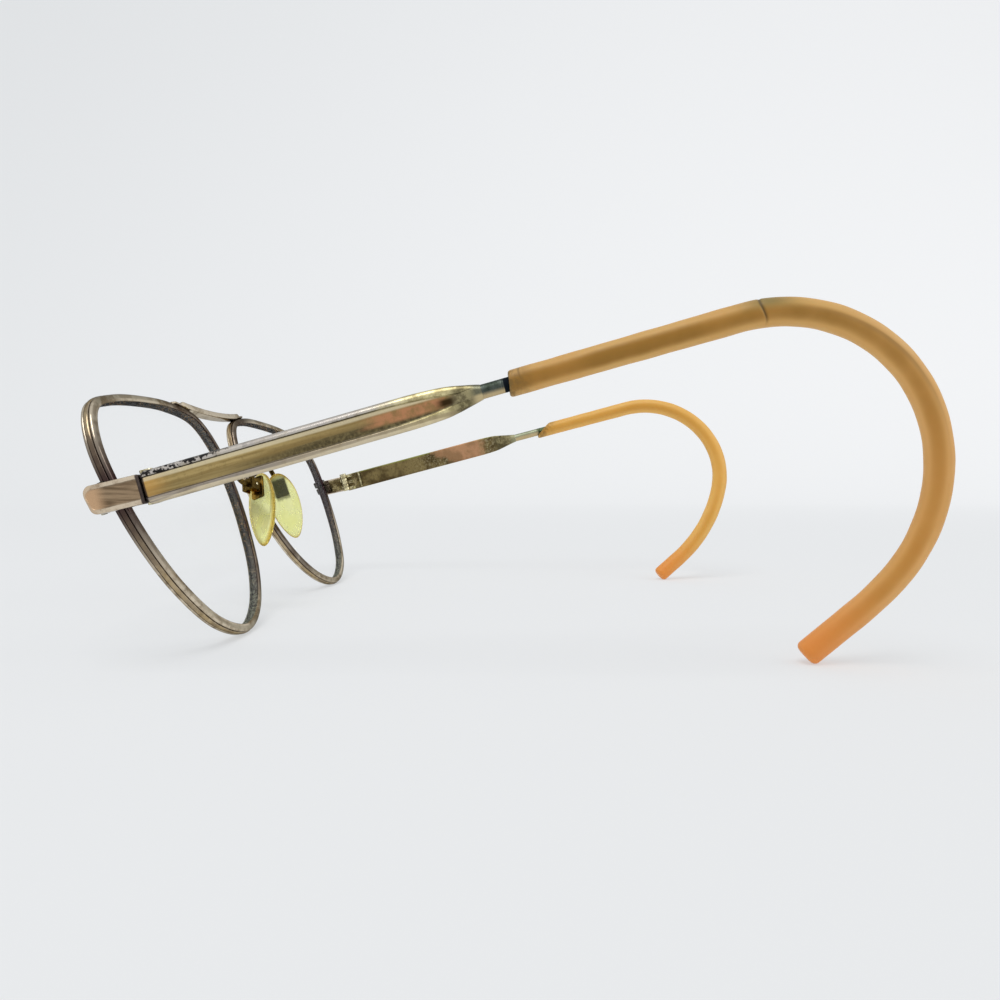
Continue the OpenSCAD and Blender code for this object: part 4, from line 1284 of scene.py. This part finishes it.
def end_ageing(tree, place, colour, rough, metallic):
    """Along is millimetres from the fold axis, less towards the nose; pairs say where bands start and end."""
    along = mask_of(tree, "along")
    stretched = add(tree, "ShaderNodeMapping", {"Vector": place, "Scale": STREAKS}).outputs[0]
    streak = noise(tree, stretched, 800.0, 5)
    brown = two_tone(tree, streak, 0.36, 0.6, (164, 140, 112), (110, 91, 70))
    peach = mix(tree, band(tree, along, *PEACH_NOSE), brown, rgb(200, 164, 128))
    colour = mix(tree, band(tree, along, *PALE_NOSE, 0.0, 0.55), colour, rgb(206, 176, 144))
    colour = mix(tree, mask_of(tree, "panel"), colour, peach)
    # Painted shade: a dark band on the rounded end by the hinge.
    joint_shade = times(tree, band(tree, along, *JOINT_SHADE), 0.92)
    return mix(tree, joint_shade, colour, rgb(46, 36, 40)), plus(tree, rough, times(tree, joint_shade, 0.4)), metallic


finishes["endpiece_metal"] = metal("endpiece metal", (216, 200, 176), (168, 146, 122), (56, 44, 36), 0.42,
                                   0.25, 240.0, extra=end_ageing)
print("endpiece finish:", len(finishes["endpiece_metal"].node_tree.nodes), "nodes")

# %% [markdown]
# The temple bars carry most of the colour. They are described in millimetres along the bar and above
# its middle, which the meshes carry as masks, so a patch can be put where the photograph shows it and
# its border made ragged by adding noise before the band. First come the fields that all parts share,
# then the gold of the sunk panel: darker along its lower edge, with a copper patch before the neck.

# %% Fields of the temple bar, and its gold panel
WARM_START, DULL, SHADOW, SHADOW_HEIGHT = (5.0, 0.5), (14.0, 30.0), (8.0, 26.0), (0.25, -0.75)
COPPER_START, COPPER_STOP, COPPER_HEIGHT, LIT_EDGE = (34.5, 39.0), (49.0, 46.0), (1.1, 0.5), (0.72, 1.0)


def bar_fields(tree, place):
    """Distance along, height, height with a slow waver, and noises from broad to fine."""
    along, height = mask_of(tree, "along"), mask_of(tree, "height")
    stretched = add(tree, "ShaderNodeCombineXYZ", {"X": times(tree, along, 0.045), "Y": height}).outputs[0]
    streak = noise(tree, stretched, 1.5, 4, 0.55)
    return SimpleNamespace(
        along=along, height=height, streak=streak,
        level=plus(tree, height, times(tree, minus(tree, streak, 0.5), 2.2)),
        broad=noise(tree, place, 150.0, 4, 0.6), blotch=noise(tree, place, 420.0, 5, 0.65),
        speckle=noise(tree, place, 1500.0, 5, 0.7))


def ragged(tree, f, field, reach, low, high):
    """A border along the bar whose place moves by a field of noise, up to a reach in millimetres."""
    return band(tree, plus(tree, f.along, times(tree, field, reach)), low, high)


def bar_gold(tree, f):
    """Gold, speckled, warm at the hinge and dull further on; then the shadow, the lit edge and the copper."""
    gold = two_tone(tree, f.streak, 0.38, 0.64, (186, 162, 108), (146, 124, 78))
    gold = mix(tree, band(tree, f.speckle, 0.45, 0.7, 0.0, 0.35), gold, rgb(112, 96, 60))
    gold = mix(tree, band(tree, f.along, *WARM_START, 0.0, 0.6), gold, rgb(216, 166, 92))
    gold = mix(tree, band(tree, f.along, *DULL, 0.0, 0.45), gold, rgb(124, 104, 66))
    shade = times(tree, band(tree, f.level, *SHADOW_HEIGHT), band(tree, f.along, *SHADOW, 0.3, 1.0), 0.95)
    gold = mix(tree, shade, gold, two_tone(tree, f.speckle, 0.4, 0.65, (78, 70, 50), (118, 106, 74)))
    gold = mix(tree, times(tree, band(tree, f.height, *LIT_EDGE), 0.6), gold, rgb(232, 220, 186))
    copper = times(tree, ragged(tree, f, f.streak, 6.0, *COPPER_START),
                   ragged(tree, f, f.blotch, 4.0, *COPPER_STOP),
                   band(tree, maths(tree, "ABSOLUTE", f.height), *COPPER_HEIGHT))
    return mix(tree, copper, gold, two_tone(tree, f.blotch, 0.4, 0.62, (184, 132, 94), (150, 118, 78)))


print("copper patch:", COPPER_START[0], "to", COPPER_STOP[0], "mm behind the hinge")

# %% [markdown]
# The bevels above and below the panel are silver where the gold is worn off: the upper one has black
# flakes near the hinge, the lower one has a painted cream reflection of the floor at its very edge, and
# both turn to brass towards the neck. The face towards the head is touched by skin and never by a
# cloth. It is olive and brown, greener on top, with a rose patch. The neck is a mottled grey.

# %% Bevels, inner face and neck of the temple bar
BRASS, FLAKES, FLAKES_HEIGHT = (32.0, 43.0), (19.0, 10.0), (1.35, 1.6)
DULL_BEVEL, LOWER_HEIGHT, FLOOR_REFLECTION_HEIGHT = (14.0, 28.0), (-1.35, -1.7), (-1.9, -2.3)
DUST, GREEN_TOP, ROSE_START, ROSE_STOP = (18.0, 30.0), (2.5, 2.9), (33.0, 35.5), (47.5, 44.5)


def bar_bevels(tree, f, colour, panel):
    """Brass towards the neck, flakes on the upper bevel near the hinge, a painted cream reflection on the
    lower one.
    """
    brass = times(tree, band(tree, f.along, *BRASS, 0.1, 1.0), rest(tree, panel))
    colour = mix(tree, brass, colour, two_tone(tree, f.blotch, 0.4, 0.62, (220, 208, 158), (166, 154, 112)))
    crumbly = plus(tree, times(tree, f.blotch, 0.55), times(tree, f.speckle, 0.45))
    flakes = times(tree, band(tree, crumbly, 0.49, 0.53), band(tree, f.along, *FLAKES),
                   band(tree, f.height, *FLAKES_HEIGHT))
    colour = mix(tree, flakes, colour, rgb(40, 38, 38))
    dull = two_tone(tree, f.along, *DULL_BEVEL, (142, 130, 118), (164, 148, 118))
    # Painted reflection: the lower bevel's very edge is cream, as the pale floor shows in it.
    lower = mix(tree, band(tree, f.level, *FLOOR_REFLECTION_HEIGHT), dull, rgb(222, 206, 172))
    return mix(tree, times(tree, band(tree, f.height, *LOWER_HEIGHT), 0.75), colour, lower)


def bar_olive(tree, f):
    """The inner face: olive, speckled, dusty further on, green on top and rose before the neck."""
    olive = two_tone(tree, f.broad, 0.42, 0.58, (136, 120, 80), (92, 78, 50))
    olive = mix(tree, band(tree, f.speckle, 0.5, 0.68, 0.0, 0.6), olive, rgb(66, 56, 38))
    dust = times(tree, band(tree, f.along, *DUST), band(tree, f.speckle, 0.5, 0.4, 0.0, 0.55))
    olive = mix(tree, dust, olive, rgb(172, 162, 128))
    green = band(tree, plus(tree, f.height, f.streak), *GREEN_TOP, 0.0, 0.7)
    olive = mix(tree, green, olive, rgb(132, 138, 66))
    slanted = plus(tree, f.along, times(tree, f.height, 1.2), times(tree, f.blotch, 7.0))
    rose = times(tree, band(tree, slanted, *ROSE_START), ragged(tree, f, f.blotch, 5.0, *ROSE_STOP), 0.9)
    return mix(tree, rose, olive, two_tone(tree, f.broad, 0.4, 0.62, (192, 146, 110), (160, 124, 90)))


def bar_grey(tree, f):
    """The neck: mottled, and at its very end dark or pale by side, with a painted tan highlight below on the
    near side.
    """
    end, far = mask_of(tree, "end"), mask_of(tree, "pale")
    mottle = plus(tree, times(tree, f.speckle, 0.5), times(tree, f.blotch, 0.5))
    grey = two_tone(tree, mottle, 0.44, 0.6, (88, 80, 56), (158, 148, 110))
    grey = mix(tree, times(tree, end, 0.9), grey, mix(tree, far, rgb(86, 90, 80), rgb(164, 162, 130)))
    # Painted highlight: tan under the end of the near neck, as on the cable.
    below = times(tree, band(tree, f.height, -0.1, -0.6, 0.0, 0.85), end, rest(tree, far))
    return mix(tree, below, grey, rgb(208, 188, 144))


print("flakes end", FLAKES[0], "mm behind the hinge, brass starts at", BRASS[0], "mm")

# %% [markdown]
# The parts are laid over one another in the order of their masks: panel, bevels, inner face, neck.
# Last come the dark pit at the end of the panel and the painted shade where the bar meets the endpiece.

# %% Temple bar finish
PIT_START, PIT_STOP, PIT_HEIGHT, START_SHADE = (43.6, 45.4), (47.6, 46.2), (0.85, 0.2), (0.5, 0.3)


def bar_ageing(tree, place, colour, rough, metallic):
    """Each part goes over what lies under it, as strongly as its mask says."""
    f = bar_fields(tree, place)
    panel, inner, neck = (mask_of(tree, label) for label in ("panel", "inner", "neck"))
    colour = mix(tree, panel, colour, bar_gold(tree, f))
    colour = bar_bevels(tree, f, colour, panel)
    colour = mix(tree, inner, colour, bar_olive(tree, f))
    colour = mix(tree, times(tree, neck, 0.9), colour, bar_grey(tree, f))
    off_middle = maths(tree, "ABSOLUTE", plus(tree, f.height, 0.1))
    pit = times(tree, band(tree, f.along, *PIT_START), band(tree, f.along, *PIT_STOP),
                band(tree, off_middle, *PIT_HEIGHT), 0.95, rest(tree, inner))
    colour = mix(tree, pit, colour, rgb(44, 32, 16))
    # Painted shade: a dark band on the bar's rounded start, next to the endpiece.
    colour = mix(tree, band(tree, f.along, *START_SHADE, 0.0, 0.9), colour, rgb(46, 36, 40))
    return colour, plus(tree, rough, 0.2, times(tree, inner, 0.2)), metallic


finishes["temple_gold"] = metal("temple metal", (190, 184, 180), (150, 140, 126), (58, 48, 34), 0.42, 0.2,
                                240.0, extra=bar_ageing)
print("temple bar finish:", len(finishes["temple_gold"].node_tree.nodes), "nodes")

# %% [markdown]
# The sleeves are an old clear plastic that has gone amber. The cable shows as a darker core, which a
# real ray would find by refraction. Here the Layer Weight node does it, because it tells how square a
# point is seen, and it stays clean at few samples. A little light scatters under the skin. Stains,
# cracks and the worn mouth are layers over that, as strong as their masks.

# %% Sleeve finish
# The wire layer is the cable's painted shadow.
SLEEVE_LAYERS = [("tip", 0.85, (238, 146, 66)), ("wire", 0.5, (112, 74, 36)), ("stain", 0.75, (112, 104, 52)),
                 ("crack", 0.85, (80, 62, 26))]


def sleeve_plastic():
    """Core where the tube is seen square on, shell at its edges, each in three tones by side and age."""
    material, tree, shader = new_material("sleeve plastic")
    place = object_place(tree)
    pale, golden = mask_of(tree, "pale"), mask_of(tree, "golden")
    cloud = noise(tree, place, 60.0, 4, 0.6)
    facing = add(tree, "ShaderNodeLayerWeight", {"Blend": 0.5}).outputs["Facing"]
    wander = times(tree, minus(tree, cloud, 0.5), 0.25)
    core = band(tree, plus(tree, facing, wander, times(tree, pale, 0.1)), 0.34, 0.04)
    shell = mix(tree, pale, rgb(212, 168, 98), mix(tree, golden, rgb(234, 176, 104), rgb(236, 184, 98)))
    inner = mix(tree, pale, rgb(156, 112, 38), mix(tree, golden, rgb(210, 146, 66), rgb(214, 154, 60)))
    amber = mix(tree, golden, rgb(204, 146, 68), rgb(222, 162, 66))
    colour = mix(tree, band(tree, cloud, 0.4, 0.7, 0.0, 0.3), mix(tree, core, shell, inner), amber)
    for label, strength, tint in SLEEVE_LAYERS:
        colour = layer(tree, colour, label, strength, rgb(*tint))
    worn = band(tree, noise(tree, place, 700.0, 4, 0.65), 0.42, 0.6)
    colour = layer(tree, colour, "mouth", plus(tree, times(tree, worn, 0.5), 0.35), rgb(122, 94, 44))
    colour = layer(tree, colour, "inside", 0.8, rgb(70, 74, 36))
    grain = noise(tree, place, 900.0, 4, 0.6)
    feed(tree, shader, {
        "Base Color": colour, "Roughness": band(tree, grain, 0.3, 0.7, 0.42, 0.56),
        "Normal": dents(tree, grain, 0.5), "Specular IOR Level": 0.3,
        "Subsurface Weight": 0.15, "Subsurface Radius": (1.0, 0.6, 0.3), "Subsurface Scale": MM})
    return material


finishes["sleeve_plastic"] = sleeve_plastic()
print("sleeve finish:", len(finishes["sleeve_plastic"].node_tree.nodes), "nodes")

# %% [markdown]
# The pads are still clear but yellow-green, deepest at their edge, where one looks through most of the
# plastic. They let two thirds of the light through. Full glass would be cleaner on paper, but it looks
# black and speckled at this size. The lenses are thin and clean, so they are almost invisible: the
# shader stays plain, and only a trace of it is mixed in by its Alpha.

# %% Pads and lenses
def pad_plastic():
    """Pale yellow clouds, a deeper edge, and the plate's dark shape and shade painted on the plastic."""
    material, tree, shader = new_material("pad plastic")
    haze = band(tree, noise(tree, object_place(tree), 300.0, 4, 0.6), 0.35, 0.65)
    colour = mix(tree, haze, rgb(254, 255, 196), rgb(252, 254, 178))
    colour = mix(tree, band(tree, mask_of(tree, "rim"), 0.45, 1.0), colour, rgb(214, 178, 74))
    # Painted shade: the plate's dark shape laid on the plastic.
    colour = layer(tree, colour, "plate_shade", 0.97, rgb(34, 27, 12))
    feed(tree, shader, {"Base Color": colour, "Transmission Weight": 0.66, "IOR": 1.15,
                        "Roughness": band(tree, haze, 0.0, 1.0, 0.24, 0.3)})
    return material


def lens_glass():
    """A film of grease that varies slowly over the glass."""
    material, tree, shader = new_material("lens glass")
    film = noise(tree, object_place(tree), 40.0, 3, 0.5)
    feed(tree, shader, {"Base Color": mix(tree, film, rgb(246, 250, 250), rgb(236, 242, 242)),
                        "Roughness": band(tree, film, 0.2, 0.8, 0.02, 0.06),
                        "Alpha": band(tree, film, 0.2, 0.8, 0.03, 0.05)})
    return material


finishes["pad_plastic"] = pad_plastic()
finishes["lens_glass"] = lens_glass()
print("finishes:", sorted(finishes))

# %% [markdown]
# The record says which kind of material each node has, so nothing needs to be typed twice. Pieces made
# here take it by the node they stand for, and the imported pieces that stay, screws and lenses, take it
# too.

# %% Finishes on the pieces
slot_of = {row["node"]: row["material_slot"] for row in frame["record"]["subparts"]}
for node, piece in {**frame["nodes"], **pieces}.items():
    piece.data.materials.clear()
    piece.data.materials.append(finishes[slot_of[node]])
print("CAD nodes that stay:", [node for node in frame["nodes"] if node not in pieces])

# %% [markdown]
# The photograph was taken close up, level with the hinges, on a pale floor that runs into a pale
# backdrop. The floor is one sheet that is flat under the glasses and curves up behind them, so there is
# no corner to see. It glows a little, because the real one lay in the light of a whole room, and far
# away it fades into the world's colour, so that its edge never shows.

# %% Floor
STUDIO = (0.52, 0.525, 0.54, 1), rgb(234, 236, 238)
FLOOR_GLOW = (0.452, 0.466, 0.476, 1)
BACK_GLOW, BACK_GLOW_RIGHT = (0.52, 0.535, 0.545, 1), (0.62, 0.63, 0.64, 1)
FLOOR_GREY, BLACK = (0.38, 0.38, 0.38, 1), (0, 0, 0, 1)
RISE_FROM, RISE_REACH, RISE_HEIGHT = -0.7, 0.9, 1.5
FLOOR_ROWS, FLOOR_COLUMNS = 180, 9


def seen_rays(tree):
    """1 for the rays that carry a picture: straight from the camera, through glass or off metal."""
    rays = add(tree, "ShaderNodeLightPath").outputs
    return maths(tree, "MAXIMUM", rays["Is Camera Ray"], maths(
        tree, "MAXIMUM", rays["Is Transmission Ray"], rays["Is Glossy Ray"]))


def floor_finish():
    """Glow by place: floor and backdrop, the backdrop brighter to the right as painted light; away from the
    middle the world takes over.
    """
    material, tree, shader = new_material("pale floor")
    split = add(tree, "ShaderNodeSeparateXYZ", {"Vector": object_place(tree)}).outputs
    # Painted light: the backdrop glows brighter towards the right.
    back = mix(tree, band(tree, split["Y"], -1.2, 1.3), BACK_GLOW, BACK_GLOW_RIGHT)
    glow = mix(tree, band(tree, split["X"], 0.0, -1.1), FLOOR_GLOW, back)
    sideways = maths(tree, "ABSOLUTE", split["Y"])
    away = maths(tree, "MAXIMUM", band(tree, sideways, 1.25, 2.3), band(tree, split["X"], 0.3, 1.3))
    feed(tree, shader, {
        "Emission Color": mix(tree, away, glow, mix(tree, seen_rays(tree), *STUDIO)),
        "Emission Strength": 1.0, "Base Color": mix(tree, away, FLOOR_GREY, BLACK),
        "Roughness": 1.0, "Specular IOR Level": 0.0})
    return material


def make_floor():
    """Height = 0 up to where the rise starts, then the square of the distance past it."""
    x = np.linspace(4.0, -1.6, FLOOR_ROWS)
    y = np.linspace(-4, 4, FLOOR_COLUMNS)
    z = np.where(x > RISE_FROM, 0.0, RISE_HEIGHT * ((RISE_FROM - x) / RISE_REACH) ** 2)
    grid = np.stack(np.broadcast_arrays(x[:, None], y, z[:, None]), -1)
    i, j = np.meshgrid(np.arange(FLOOR_ROWS - 1), np.arange(FLOOR_COLUMNS - 1), indexing="ij")
    first = i * FLOOR_COLUMNS + j
    faces = np.stack([first, first + FLOOR_COLUMNS, first + FLOOR_COLUMNS + 1, first + 1], -1)
    mesh = bpy.data.meshes.new("floor")
    mesh.from_pydata(grid.reshape(-1, 3).tolist(), [], faces.reshape(-1, 4).tolist())
    mesh.shade_smooth()
    floor = bpy.data.objects.new("floor", mesh)
    bpy.context.scene.collection.objects.link(floor)
    mesh.materials.append(floor_finish())


make_floor()
print("floor:", FLOOR_ROWS, "by", FLOOR_COLUMNS, "points")

# %% [markdown]
# The light of the photograph is soft and comes from all round, so the world does most of it. It shows
# one colour to rays that make a picture and another to those that only light things, which keeps the
# backdrop pale without washing out the metal. Two large discs, above and beside, add direction. Bigger
# lamps give softer shadows.

# %% World and lamps
def make_world():
    """One colour for light, another for what is seen."""
    world = bpy.data.worlds.new("studio")
    bpy.context.scene.world = world
    world.use_nodes = True
    tree = world.node_tree
    feed(tree, tree.nodes["Background"], {"Color": mix(tree, seen_rays(tree), *STUDIO), "Strength": 1.0})


def make_lamp(name, place, size, watts):
    """A round lamp that faces the middle of the glasses."""
    data = bpy.data.lights.new(name, "AREA")
    data.shape, data.size, data.energy = "DISK", size, watts
    lamp = bpy.data.objects.new(name, data)
    bpy.context.scene.collection.objects.link(lamp)
    back = Vector(place) - Vector((0, 0, 0.02))
    lamp.matrix_world = Matrix.Translation(place) @ back.to_track_quat("Z", "Y").to_matrix().to_4x4()


make_world()
make_lamp("key", (0.5, -0.2, 1.3), 0.9, 7.0)
make_lamp("fill", (0.2, 1.2, 0.8), 0.8, 3.0)
print("lamps:", [lamp.name for lamp in bpy.data.lights])

# %% [markdown]
# The camera's place, its three small turns and its focal length were fitted to the photograph, by
# comparing where points of the model fall with where they are seen. A short distance and a wide view
# explain why the near side looks so much larger than the far one. Standard is the view transform that
# shows a colour as it was picked.

# %% Camera
YAW, PITCH_UP, ROLL, FOCAL = -0.0325, -0.0289, -0.0016, 744.36
EYE = np.array([168.0, FRONT_Y + 45.864 + 5.785, 28.727])
SENSOR, PHOTO_WIDTH = 36, 1000


def make_camera():
    """Turns in radians about the upright, the sideways and the viewing line; focal length in pixels."""
    cy, sy, cp, sp, cr, sr = (f(v) for v in (YAW, PITCH_UP, ROLL) for f in (np.cos, np.sin))
    right = np.array([sy, cy, 0])
    ahead_flat = np.array([-cy, sy, 0])
    upright = np.array([0, 0, 1.0])
    up = cp * upright - sp * ahead_flat
    ahead = cp * ahead_flat + sp * upright
    right, up = cr * right - sr * up, sr * right + cr * up
    data = bpy.data.cameras.new("camera")
    data.sensor_width, data.lens = SENSOR, FOCAL * SENSOR / PHOTO_WIDTH
    data.clip_start, data.clip_end = 0.005, 20
    camera = bpy.data.objects.new("camera", data)
    bpy.context.scene.collection.objects.link(camera)
    columns = np.column_stack([right, up, -ahead])
    camera.matrix_world = Matrix.Translation(EYE * MM) @ Matrix(columns.tolist()).to_4x4()
    bpy.context.scene.camera = camera
    print("camera at", (EYE * MM).round(3), "with a lens of", round(data.lens, 1), "mm")


make_camera()
bpy.context.scene.view_settings.view_transform = "Standard"
